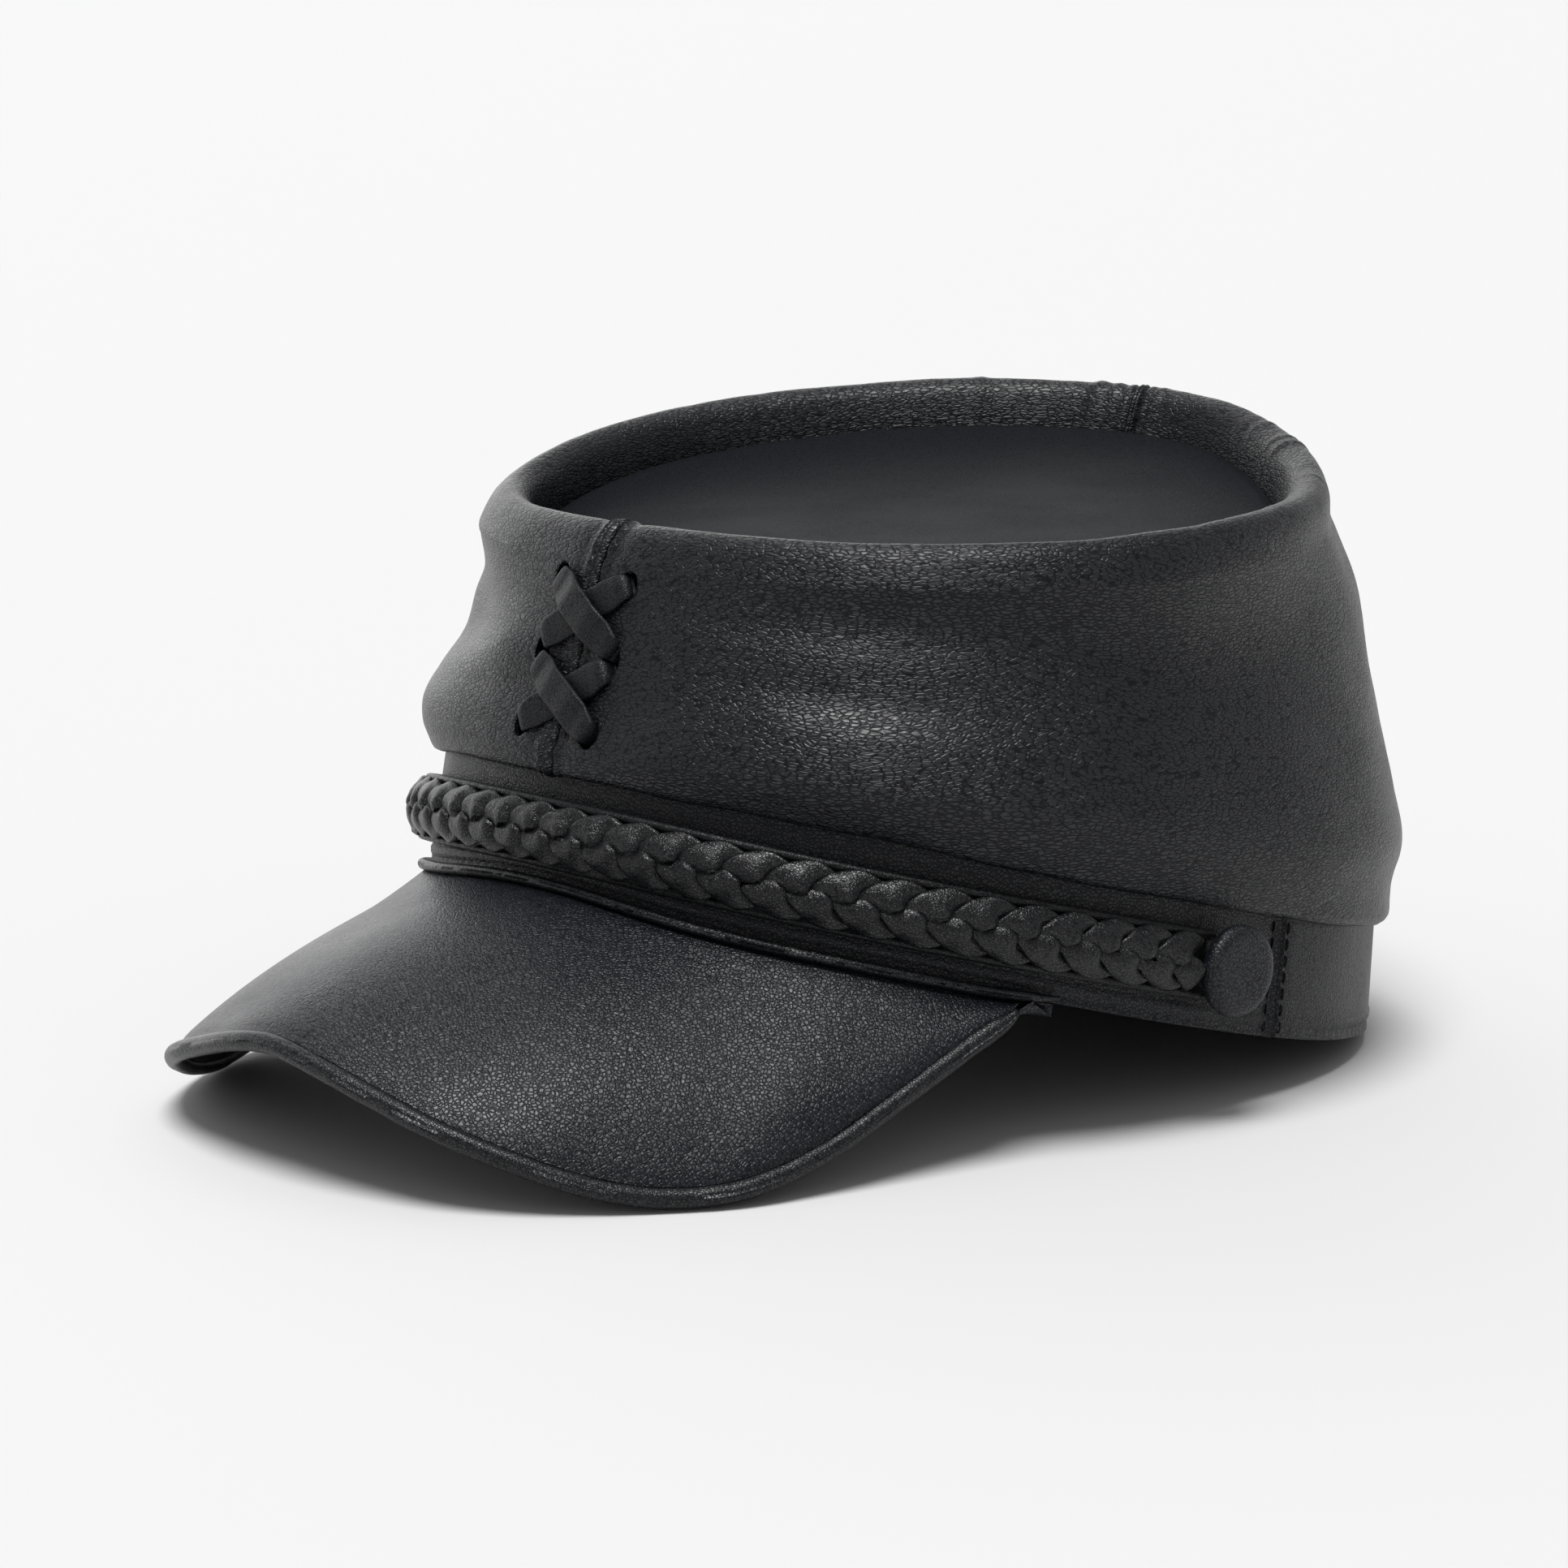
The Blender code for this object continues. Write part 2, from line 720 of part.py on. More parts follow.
def make_lace(name, start, end, over):
    """A flat thong from one hole to another, over or under the one that it crosses."""
    holes = lace_holes()
    first, last = Vector((*holes[start], 0)), Vector((*holes[end], 0))
    for point, hole in ((first, start), (last, end)):
        if hole.startswith("middle"):
            point.y += LACE_SHARE_OFFSET * (1 if {start, end} & {"top_left", "top_right"} else -1)
    tail = CROWN_WALL + LACE_TAIL
    rest = LACE_CLEARANCE + LACE_WALL / 2
    hump = LACE_WALL + LACE_CLEARANCE if over else 0.0
    stations = [
        (way, rest_share * rest + hump_share * hump - tail_share * tail, LACE_WIDTH * width)
        for way, tail_share, rest_share, hump_share, width in LACE_SECTIONS
    ]
    stations += [(1 - way, lift, width) for way, lift, width in reversed(stations[:-1])]

    def middle(way, lift):
        flat = first.lerp(last, way)
        point, out = front_face(flat.x, flat.y)
        return point + out * lift

    points = [middle(way, lift) for way, lift, _ in stations]
    slant = (last - first).normalized()
    across = Vector((-slant.y, 0, slant.x))
    count = len(stations)

    def place(share, turn):
        index = round(share * (count - 1))
        corner = round(turn / (2 * math.pi) * len(LACE_CORNERS)) % len(LACE_CORNERS)
        before, after = points[max(0, index - 1)], points[min(count - 1, index + 1)]
        along = (after - before).normalized()
        side = (across - along * across.dot(along)).normalized()
        face = side.cross(along).normalized()
        sideways, outwards = LACE_CORNERS[corner]
        width, wall = stations[index][2] / 2, LACE_WALL / 2
        return points[index] + side * width * sideways + face * wall * outwards

    return rod(name, count, len(LACE_CORNERS), place)


def punch_holes(panels):
    """Cuts the lace holes through the panels of the front."""
    for name, (across, height) in lace_holes().items():
        form = bmesh.new()
        bmesh.ops.create_cone(
            form,
            cap_ends=True,
            segments=HOLE_SIDES,
            radius1=LACE_HOLE_RADIUS,
            radius2=LACE_HOLE_RADIUS,
            depth=HOLE_REACH,
        )
        tall = 1 + (LACE_SHARE_OFFSET / LACE_HOLE_RADIUS if name.startswith("middle") else 0)
        bmesh.ops.scale(form, vec=(1, tall, 1), verts=form.verts)
        mesh = bpy.data.meshes.new("hole_" + name)
        form.to_mesh(mesh)
        form.free()
        cutter = bpy.data.objects.new("hole_" + name, mesh)
        cutters.objects.link(cutter)
        cutter.parent = tipped
        cutter.location, out = front_face(across, height)
        cutter.rotation_euler = out.to_track_quat("Z", "Y").to_euler()
        cutter.hide_render = True
        cutter.display_type = "WIRE"
    for panel in panels:
        punched = panel.modifiers.new("punched", "BOOLEAN")
        punched.operation = "DIFFERENCE"
        punched.solver = "EXACT"
        punched.operand_type = "COLLECTION"
        punched.collection = cutters


def world_points(objects):
    """The finished vertices of some objects, in the world."""
    bpy.context.view_layer.update()
    graph = bpy.context.evaluated_depsgraph_get()
    found = []
    for obj in objects:
        evaluated = obj.evaluated_get(graph)
        mesh = evaluated.to_mesh()
        found.extend(evaluated.matrix_world @ vertex.co for vertex in mesh.vertices)
        evaluated.to_mesh_clear()
    return np.array(found)


def settle(front_pieces, back_pieces):
    """Tips the cap back until its front and its back touch the surface together."""
    front, back = world_points(front_pieces), world_points(back_pieces)
    low, high = 0.0, math.radians(STEEPEST_TIP)
    for _ in range(TIP_ROUNDS):
        tip = (low + high) / 2
        turn = np.array(Matrix.Rotation(-tip, 3, "X"))
        if (front @ turn.T)[:, 2].min() < (back @ turn.T)[:, 2].min():
            low = tip
        else:
            high = tip
    tipped.rotation_euler.x = -low
    points = world_points(cap_pieces.objects)
    middle = (points.max(axis=0) + points.min(axis=0)) / 2
    tipped.location = (-middle[0], -middle[1], -points[:, 2].min())


for old in list(bpy.data.objects):
    bpy.data.objects.remove(old)
cap_pieces = bpy.data.collections.new("kepi")
cutters = bpy.data.collections.new("kepi_cutters")
bpy.context.scene.collection.children.link(cap_pieces)
bpy.context.scene.collection.children.link(cutters)
tipped = bpy.data.objects.new("tipped", None)
bpy.context.scene.collection.objects.link(tipped)

side_left = make_crown_panel("side_panel_left", BACK_SEAM_ANGLE - 360, 90)
side_right = make_crown_panel("side_panel_right", 90, BACK_SEAM_ANGLE)
finish(side_left, "25262a", 0.45)
finish(side_right, "25262a", 0.45)
punch_holes((side_left, side_right))
finish(make_top_panel(), "2b2d31", 0.6)
band_front = make_band("band_front", SIDE_SEAM_ANGLE, 180 - SIDE_SEAM_ANGLE)
band_rear = make_band("band_rear", 180 - SIDE_SEAM_ANGLE, 360 + SIDE_SEAM_ANGLE)
finish(band_front, "24262b", 0.5)
finish(band_rear, "24262b", 0.5)
finish(make_strap(), "1d1e21", 0.5)
plait = plait_angles()
for strand in range(3):
    finish(make_strand(strand, *plait), "1b1c1f", 0.4)
finish(make_button("side_button_left", BUTTON_ANGLE), "1f2024", 0.5)
finish(make_button("side_button_right", 180 - BUTTON_ANGLE), "1f2024", 0.5)
peak = finish(make_peak(), "26282d", 0.42)
binding = finish(make_binding(), "202125", 0.5)
finish(make_welt(), "202125", 0.5)
finish(make_lace("lace_over_upper", "top_right", "middle_left", True), "1c1d20", 0.5)
finish(make_lace("lace_under_upper", "top_left", "middle_right", False), "1c1d20", 0.5)
finish(make_lace("lace_over_lower", "middle_right", "low_left", True), "1c1d20", 0.5)
finish(make_lace("lace_under_lower", "middle_left", "low_right", False), "1c1d20", 0.5)
settle((peak, binding), (band_rear,))
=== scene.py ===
"""Looks of a black leather kepi that rests on a pale studio floor.

Each sub-assembly of the cap is a class: its sizes are dataclass fields, in metres, and its
methods shape and dress its pieces. All shapes are drawn with the cap level, the middle of
its band at x = y = 0, the peak towards -Y and the wearer's left towards +X. Angles run
round the band in degrees from the wearer's left, through 90 at the front. The last step of
every piece lays it as the cap lies on the floor, tipped back onto its band.
"""

import logging
import math
from dataclasses import dataclass, field
from enum import Enum
from typing import Callable

import bmesh
import bpy
import numpy as np
from mathutils import Matrix, Vector, noise

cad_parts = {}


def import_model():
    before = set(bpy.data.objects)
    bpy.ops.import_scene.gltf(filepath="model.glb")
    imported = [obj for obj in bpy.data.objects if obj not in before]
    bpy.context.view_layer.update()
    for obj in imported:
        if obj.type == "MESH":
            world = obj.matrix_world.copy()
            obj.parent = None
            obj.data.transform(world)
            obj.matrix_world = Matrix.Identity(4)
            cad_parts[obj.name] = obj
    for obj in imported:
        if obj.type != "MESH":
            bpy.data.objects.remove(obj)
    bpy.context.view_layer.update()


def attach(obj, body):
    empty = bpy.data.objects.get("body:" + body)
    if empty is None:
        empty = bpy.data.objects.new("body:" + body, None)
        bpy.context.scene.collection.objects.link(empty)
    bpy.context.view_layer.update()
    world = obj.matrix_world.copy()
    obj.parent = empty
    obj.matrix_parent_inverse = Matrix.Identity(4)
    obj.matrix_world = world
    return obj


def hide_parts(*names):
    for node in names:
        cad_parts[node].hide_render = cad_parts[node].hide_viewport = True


log = logging.getLogger("kepi")

MM = 0.001
# Vertices closer than this are welded into one.
WELD = 0.002 * MM
# How far the whole cap is tipped back from level, in degrees.
LEAN = 14.5249
# Points that a smooth line gets between two of those that it passes.
SPLINE_STEPS = 8

# A share along and a share across a surface give its point there, or its relief there.
Place = Callable[[float, float], Vector]
Depth = Callable[[float, float], float]
# A share of a line gives its point, and in a row of stitches also the way out.
Path = Callable[[float], Vector]
StitchPath = Callable[[float], tuple[Vector, Vector]]


def bell(distance: float, spread: float) -> float:
    """A soft bump, 1 at no distance, that dies out past its spread."""
    return math.exp(-((distance / spread) ** 2))


def turn_between(angle: float, other: float) -> float:
    """The difference of two angles in degrees, between -180 and 180."""
    return (angle - other + 180.0) % 360.0 - 180.0


def signed_power(value: float, power: float) -> float:
    """A power that keeps the sign of its base."""
    return math.copysign(abs(value) ** power, value)


def curve_at(stops: list[float], values: list[float], place: float) -> float:
    """Reads a smooth curve through unevenly spaced stops.

    Args:
        stops: Rising places along the curve.
        values: The value at each stop.
        place: Where to read it.

    Returns:
        The value there, from a cubic piece with finite-difference slopes.
    """
    index = max(0, min(len(stops) - 2, int(np.searchsorted(stops, place)) - 1))
    low, high = stops[index], stops[index + 1]
    before, after = max(0, index - 1), min(len(stops) - 1, index + 2)
    width = high - low
    start = (values[index + 1] - values[before]) / (stops[index + 1] - stops[before])
    end = (values[after] - values[index]) / (stops[after] - stops[index])
    part = (place - low) / width
    square, cube = part * part, part**3
    return (
        (2 * cube - 3 * square + 1) * values[index]
        + (cube - 2 * square + part) * width * start
        + (3 * square - 2 * cube) * values[index + 1]
        + (cube - square) * width * end
    )


def smooth_line(points: np.ndarray, count: int) -> np.ndarray:
    """Draws an even, smooth line through a few points.

    Args:
        points: The points that the line passes, one a row.
        count: How many points the line gets.

    Returns:
        The line's points, evenly spaced along it.
    """
    ends = np.vstack([2 * points[0] - points[1], points, 2 * points[-1] - points[-2]])
    fine = []
    for index in range(len(points) - 1):
        before, start, end, after = ends[index : index + 4]
        for part in np.linspace(0, 1, SPLINE_STEPS, endpoint=False):
            square, cube = part * part, part**3
            fine.append(
                0.5
                * (
                    2 * start
                    + (end - before) * part
                    + (2 * before - 5 * start + 4 * end - after) * square
                    + (3 * start - 3 * end + after - before) * cube
                )
            )
    fine = np.array(fine + [points[-1]])
    lengths = np.concatenate([[0], np.cumsum(np.linalg.norm(np.diff(fine, axis=0), axis=1))])
    even = np.linspace(0, lengths[-1], count)
    return np.stack([np.interp(even, lengths, fine[:, axis]) for axis in range(3)], axis=1)


def ripple(point: Vector, size: float, seed: float) -> float:
    """Soft random waves of about a size in metres, between -1 and 1."""
    return noise.noise(point / size + Vector((seed, 7.3 * seed, -3.1 * seed)))


class Finish(Enum):
    """The leathers and threads of the cap."""

    CROWN = "crown"
    TOP = "top"
    BAND = "band"
    STRAP = "strap"
    PLAIT = "plait"
    BUTTON = "button"
    PEAK = "peak"
    BINDING = "binding"
    LACE = "lace"
    THREAD = "thread"


def linear(hex_value: str) -> tuple[float, float, float, float]:
    """An sRGB hex colour as the linear RGBA that a shader takes.

    Args:
        hex_value: Six hex digits, without a hash sign.

    Returns:
        Red, green, blue and an alpha of 1.
    """
    parts = [int(hex_value[index : index + 2], 16) / 255 for index in (0, 2, 4)]
    red, green, blue = (
        part / 12.92 if part < 0.04045 else ((part + 0.055) / 1.055) ** 2.4 for part in parts
    )
    return red, green, blue, 1.0


def add(material: bpy.types.Material, kind: str, links: dict, **settings) -> bpy.types.Node:
    """Adds a node with its settings and its links.

    Args:
        material: The material that gets the node.
        kind: The node's type.
        links: Socket name to the output that feeds it, or to the value that it holds.
        **settings: The node's own properties.

    Returns:
        The new node.
    """
    node = material.node_tree.nodes.new(kind)
    for name, value in settings.items():
        setattr(node, name, value)
    for name, source in links.items():
        socket = node.inputs[name]
        if isinstance(source, bpy.types.NodeSocket):
            material.node_tree.links.new(source, socket)
        else:
            socket.default_value = source
    return node


@dataclass(frozen=True)
class Leather:
    """Full-grain leather: dyed black, sealed with a thin finish, its pores drawn as pebbles.

    The pebbles of real lambskin are about half a millimetre wide. They are drawn up to
    0.8 mm wide, as coarse as they need to be to show.
    """

    name: str
    dye: str
    # The lighter tone of worn patches, also painted on the pebble tops against the painted shade in
    # the valleys.
    worn_and_lit_dye: str
    roughness: float = 0.45
    pebble_mm: float = 1.0
    pebble_depth_mm: float = 0.10
    crease_mm: float = 5.0
    crease_depth_mm: float = 0.10
    stretch: tuple[float, float, float] = (1.0, 1.0, 1.0)
    lean_degrees: float = 0.0
    sheen: float = 0.0
    specular: float = 0.32

    # The same for every leather: widths are shares of a pebble's width, valleys and weights
    # are shares of its height, and the last three say how roughness and shine change.
    sway_width = 3.5
    sway_reach = 1.6
    valley = 0.22
    cluster_width = 2.6
    cluster_valley = 0.18
    cluster_weight = 0.55
    fleck_width = 0.5
    fleck_weight = 0.25
    patch_mm = 28.0
    gloss_change = (-0.04, 0.06)
    dull_share = 0.42
    polished_share = 1.1

    def material(self) -> bpy.types.Material:
        """Builds the node material.

        Returns:
            The material, named for the leather.
        """
        made = bpy.data.materials.new(self.name)
        made.use_nodes = True
        shader = made.node_tree.nodes["Principled BSDF"]
        where = add(made, "ShaderNodeTexCoord", {})
        turned = add(
            made,
            "ShaderNodeMapping",
            {
                "Vector": where.outputs["Object"],
                "Rotation": (math.radians(self.lean_degrees), 0, 0),
                "Scale": self.stretch,
            },
        ).outputs["Vector"]

        # A slow warp keeps the pebbles from lying in rows.
        sway = add(
            made,
            "ShaderNodeTexNoise",
            {
                "Vector": turned,
                "Scale": 1 / (self.sway_width * self.pebble_mm * MM),
                "Detail": 2.0,
            },
        )
        offset = add(
            made,
            "ShaderNodeVectorMath",
            {0: sway.outputs["Color"], 1: (0.5, 0.5, 0.5)},
            operation="SUBTRACT",
        )
        shift = add(
            made,
            "ShaderNodeVectorMath",
            {0: offset.outputs["Vector"], "Scale": self.sway_reach * self.pebble_mm * MM},
            operation="SCALE",
        )
        warped = add(
            made,
            "ShaderNodeVectorMath",
            {0: turned, 1: shift.outputs["Vector"]},
            operation="ADD",
        ).outputs["Vector"]

        # Pebbles of the real width, domed and parted by fine valleys.
        cells = add(
            made,
            "ShaderNodeTexVoronoi",
            {"Vector": warped, "Scale": 1 / (self.pebble_mm * MM), "Randomness": 0.95},
            feature="DISTANCE_TO_EDGE",
        )
        pebble = add(
            made,
            "ShaderNodeMapRange",
            {
                "Value": cells.outputs["Distance"],
                "From Min": 0.0,
                "From Max": self.valley,
            },
            interpolation_type="SMOOTHSTEP",
        ).outputs["Result"]
        wide = add(
            made,
            "ShaderNodeTexVoronoi",
            {
                "Vector": warped,
                "Scale": 1 / (self.cluster_width * self.pebble_mm * MM),
                "Randomness": 0.9,
            },
            feature="DISTANCE_TO_EDGE",
        )
        cluster = add(
            made,
            "ShaderNodeMapRange",
            {
                "Value": wide.outputs["Distance"],
                "From Min": 0.0,
                "From Max": self.cluster_valley,
            },
            interpolation_type="SMOOTHSTEP",
        ).outputs["Result"]
        grain = add(
            made,
            "ShaderNodeMath",
            {0: cluster, 1: self.cluster_weight, 2: pebble},
            operation="MULTIPLY_ADD",
        ).outputs["Value"]
        fleck = add(
            made,
            "ShaderNodeTexNoise",
            {
                "Vector": turned,
                "Scale": 1 / (self.fleck_width * self.pebble_mm * MM),
                "Detail": 3.0,
            },
        ).outputs["Fac"]
        height = add(
            made,
            "ShaderNodeMath",
            {0: fleck, 1: self.fleck_weight, 2: grain},
            operation="MULTIPLY_ADD",
        ).outputs["Value"]
        crease = add(
            made,
            "ShaderNodeTexNoise",
            {
                "Vector": turned,
                "Scale": 1 / (self.crease_mm * MM),
                "Detail": 3.0,
                "Roughness": 0.55,
                "Distortion": 0.6,
            },
        ).outputs["Fac"]
        wide_bump = add(
            made,
            "ShaderNodeBump",
            {"Height": crease, "Distance": self.crease_depth_mm * MM, "Strength": 1.0},
        )
        bump = add(
            made,
            "ShaderNodeBump",
            {
                "Height": height,
                "Distance": self.pebble_depth_mm * MM,
                "Strength": 1.0,
                "Normal": wide_bump.outputs["Normal"],
            },
        )

        # Handling lightens the dye in soft patches. Painted shade darkens it in the valleys between
        # the pebbles, so that their tops read lighter.
        patches = add(
            made,
            "ShaderNodeTexNoise",
            {"Vector": turned, "Scale": 1 / (self.patch_mm * MM), "Detail": 3.0},
        ).outputs["Fac"]
        wear_and_valley_shade = add(
            made,
            "ShaderNodeMath",
            {0: patches, 1: pebble},
            operation="MULTIPLY",
        ).outputs["Value"]
        # Painted shade: where the pebble mask is low, in the valleys, the darker dye is used.
        tone = add(
            made,
            "ShaderNodeMix",
            {"Factor": wear_and_valley_shade, "A": linear(self.dye), "B": linear(self.worn_and_lit_dye)},
            data_type="RGBA",
        )
        gloss = add(
            made,
            "ShaderNodeMapRange",
            {
                "Value": patches,
                "From Min": 0.3,
                "From Max": 0.7,
                "To Min": self.roughness + self.gloss_change[0],
                "To Max": self.roughness + self.gloss_change[1],
            },
        )
        # Handling polishes the tops of the pebbles, and the valleys between stay dull.
        shine = add(
            made,
            "ShaderNodeMapRange",
            {
                "Value": pebble,
                "From Min": 0.0,
                "From Max": 1.0,
                "To Min": self.dull_share * self.specular,
                "To Max": self.polished_share * self.specular,
            },
        )
        links = made.node_tree.links
        links.new(shine.outputs["Result"], shader.inputs["Specular IOR Level"])
        links.new(tone.outputs["Result"], shader.inputs["Base Color"])
        links.new(gloss.outputs["Result"], shader.inputs["Roughness"])
        links.new(bump.outputs["Normal"], shader.inputs["Normal"])
        shader.inputs["IOR"].default_value = 1.5
        shader.inputs["Metallic"].default_value = 0.0
        shader.inputs["Sheen Weight"].default_value = self.sheen
        shader.inputs["Sheen Roughness"].default_value = 0.5
        return made


# Soft lambskin, drum dyed: fine pebbles drawn out level by the stretch over the block, so
# that light falls off it in soft, grainy patches.
CROWN_SKIN = Leather(
    "crown_lambskin", "0b0c10", "15171c", roughness=0.37, specular=0.44,
    pebble_mm=0.8, pebble_depth_mm=0.078, crease_mm=4.0, crease_depth_mm=0.14,
    stretch=(0.45, 0.45, 1.3), lean_degrees=LEAN,
)
# The same skin laid flat on a stiff board and sanded: almost smooth and matt.
TOP_SKIN = Leather(
    "top_board_lambskin", "0d0f13", "181a1f", roughness=0.55, specular=0.08, sheen=0.02,
    pebble_mm=0.6, pebble_depth_mm=0.03, crease_mm=9.0, crease_depth_mm=0.05,
)
# The same skin pasted on the stiff band: tighter pebbles.
BAND_SKIN = Leather(
    "band_lambskin", "0b0c10", "15171c", roughness=0.39, specular=0.34,
    pebble_mm=0.75, pebble_depth_mm=0.060, crease_mm=5.0, crease_depth_mm=0.06,
)
# Plain strap leather with burnished edges: close grained and even.
STRAP_SKIN = Leather(
    "strap_calfskin", "0a0b0d", "131417", roughness=0.38, specular=0.32,
    pebble_mm=0.6, pebble_depth_mm=0.04, crease_mm=3.0, crease_depth_mm=0.10,
)
# Soft folded thong, waxed: it cracks finely along its length where it bends, and its bends
# catch the light.
PLAIT_SKIN = Leather(
    "plait_calfskin", "0b0c0e", "151619", roughness=0.31, specular=0.48,
    pebble_mm=0.6, pebble_depth_mm=0.04, crease_mm=1.6, crease_depth_mm=0.20,
)
# Thin skin pulled tight over a button mould: even pebbles, a little lighter.
BUTTON_SKIN = Leather(
    "button_lambskin", "0e0f14", "191b21", roughness=0.38, specular=0.42,
    pebble_mm=0.8, pebble_depth_mm=0.060, crease_mm=4.0, crease_depth_mm=0.06,
)
# Peak leather over board: round pebbles and a slightly glossier finish.
PEAK_SKIN = Leather(
    "peak_lambskin", "0b0d13", "14171e", roughness=0.36, specular=0.40,
    pebble_mm=0.8, pebble_depth_mm=0.062, crease_mm=7.0, crease_depth_mm=0.05,
)
# Bias strip turned over the peak's edge, rubbed smooth.
BINDING_SKIN = Leather(
    "binding_lambskin", "0c0d10", "17191d", roughness=0.34, specular=0.42,
    pebble_mm=0.7, pebble_depth_mm=0.04, crease_mm=3.0, crease_depth_mm=0.07,
)
# Cut thong with a suede back, rather dry and dull.
LACE_SKIN = Leather(
    "lace_thong", "0e0f12", "18191d", roughness=0.46,
    pebble_mm=0.6, pebble_depth_mm=0.035, crease_mm=3.0, crease_depth_mm=0.08,
)
# Bonded sewing thread: its twist is drawn as a fine grain, and it is lighter than the skins.
THREAD = Leather(
    "sewing_thread", "131417", "242529", roughness=0.42,
    pebble_mm=0.35, pebble_depth_mm=0.06, crease_mm=1.0, crease_depth_mm=0.06,
)

# What each finish is, and a slot name for its pieces, which the script does not use.
SKINS = {
    Finish.CROWN: (CROWN_SKIN, "crown_leather"),
    Finish.TOP: (TOP_SKIN, "top_leather"),
    Finish.BAND: (BAND_SKIN, "band_leather"),
    Finish.STRAP: (STRAP_SKIN, "strap_leather"),
    Finish.PLAIT: (PLAIT_SKIN, "plait_leather"),
    Finish.BUTTON: (BUTTON_SKIN, "button_leather"),
    Finish.PEAK: (PEAK_SKIN, "peak_leather"),
    Finish.BINDING: (BINDING_SKIN, "binding_leather"),
    Finish.LACE: (LACE_SKIN, "lace_leather"),
    Finish.THREAD: (THREAD, "lace_leather"),
}


@dataclass
class Bench:
    """Where finished shapes become pieces of the cap, laid as the cap lies on the floor."""

    tip_degrees: float = LEAN
    place: tuple[float, float, float] = (0.0, 0.02936, 0.01973)
    materials: dict[Finish, bpy.types.Material] = field(default_factory=dict)

    def lie(self) -> Matrix:
        """How the level cap is tipped and moved onto the floor."""
        tip = Matrix.Rotation(-math.radians(self.tip_degrees), 4, "X")
        return Matrix.Translation(self.place) @ tip

    def dress(self, finish: Finish) -> bpy.types.Material:
        """The material of a finish, made once.

        Args:
            finish: The finish.

        Returns:
            The material.
        """
        if finish not in self.materials:
            self.materials[finish] = SKINS[finish][0].material()
        return self.materials[finish]

    def piece(
        self,
        name: str,
        form: bmesh.types.BMesh,
        finish: Finish,
        replaced: tuple[str, ...] = (),
        wall: float = 0.0,
    ) -> bpy.types.Object:
        """Makes an object of a shape that was drawn on the level cap.

        Args:
            name: The piece's name.
            form: Its shape, which is freed.
            finish: What it is made of.
            replaced: The CAD nodes that it stands for.
            wall: The thickness that an open sheet gets, half to each side.

        Returns:
            The object, which rides on the cap's one body.
        """
        bmesh.ops.transform(form, matrix=self.lie(), verts=form.verts)
        mesh = bpy.data.meshes.new(name)
        form.to_mesh(mesh)
        form.free()
        obj = bpy.data.objects.new(name, mesh)
        bpy.context.scene.collection.objects.link(obj)
        mesh.shade_smooth()
        if wall:
            shell = obj.modifiers.new("wall", "SOLIDIFY")
            shell.thickness = wall
            shell.offset = 0.0
            shell.use_even_offset = False
        mesh.materials.append(self.dress(finish))
        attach(obj, "root")
        if replaced:
            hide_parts(*replaced)
        log.info("%s: %d faces", name, len(mesh.polygons))
        return obj


def sheet_form(
    columns: int, rows: int, place: Place, relief: Depth | None = None
) -> bmesh.types.BMesh:
    """Shapes a grid into a surface.

    Args:
        columns: Faces along it.
        rows: Faces across it.
        place: Gives the point at a share along and a share across.
        relief: How far the surface then stands out along its normal there.

    Returns:
        The open surface.
    """
    form = bmesh.new()
    bmesh.ops.create_grid(form, x_segments=columns, y_segments=rows, size=0.5)
    shares = [(vertex.co.x + 0.5, vertex.co.y + 0.5) for vertex in form.verts]
    for vertex, share in zip(form.verts, shares):
        vertex.co = place(*share)
    if relief:
        form.normal_update()
        moves = [vertex.normal * relief(*share) for vertex, share in zip(form.verts, shares)]
        for vertex, move in zip(form.verts, moves):
            vertex.co += move
    return form


def close_form(form: bmesh.types.BMesh) -> bmesh.types.BMesh:
    """Welds rolled-up grids into closed shapes.

    Args:
        form: The grids.

    Returns:
        The same form, with its ends filled and its faces outward.
    """
    bmesh.ops.remove_doubles(form, verts=form.verts, dist=WELD)
    ends = [edge for edge in form.edges if edge.is_boundary]
    bmesh.ops.holes_fill(form, edges=ends, sides=0)
    bmesh.ops.recalc_face_normals(form, faces=form.faces)
    return form


def round_edges(obj: bpy.types.Object, width: float) -> None:
    """Rounds the cut edges of a piece.

    Args:
        obj: The piece.
        width: How wide the rounding is.
    """
    edge = obj.modifiers.new("rounded_edge", "BEVEL")
    edge.width = width
    edge.segments = 2
    edge.limit_method = "ANGLE"
    edge.angle_limit = math.radians(50)


def frame_on(path: Path, share: float, out: Vector) -> tuple[Vector, Vector, Vector]:
    """The point, sideways and outward directions of a path at a share of it.

    Args:
        path: The path.
        share: How far along it.
        out: Roughly outwards.

    Returns:
        The point, the sideways direction and the outward direction square to the path.
    """
    step = 1e-3
    along = (path(min(1.0, share + step)) - path(max(0.0, share - step))).normalized()
    side = along.cross(out).normalized()
    return path(share), side, side.cross(along)


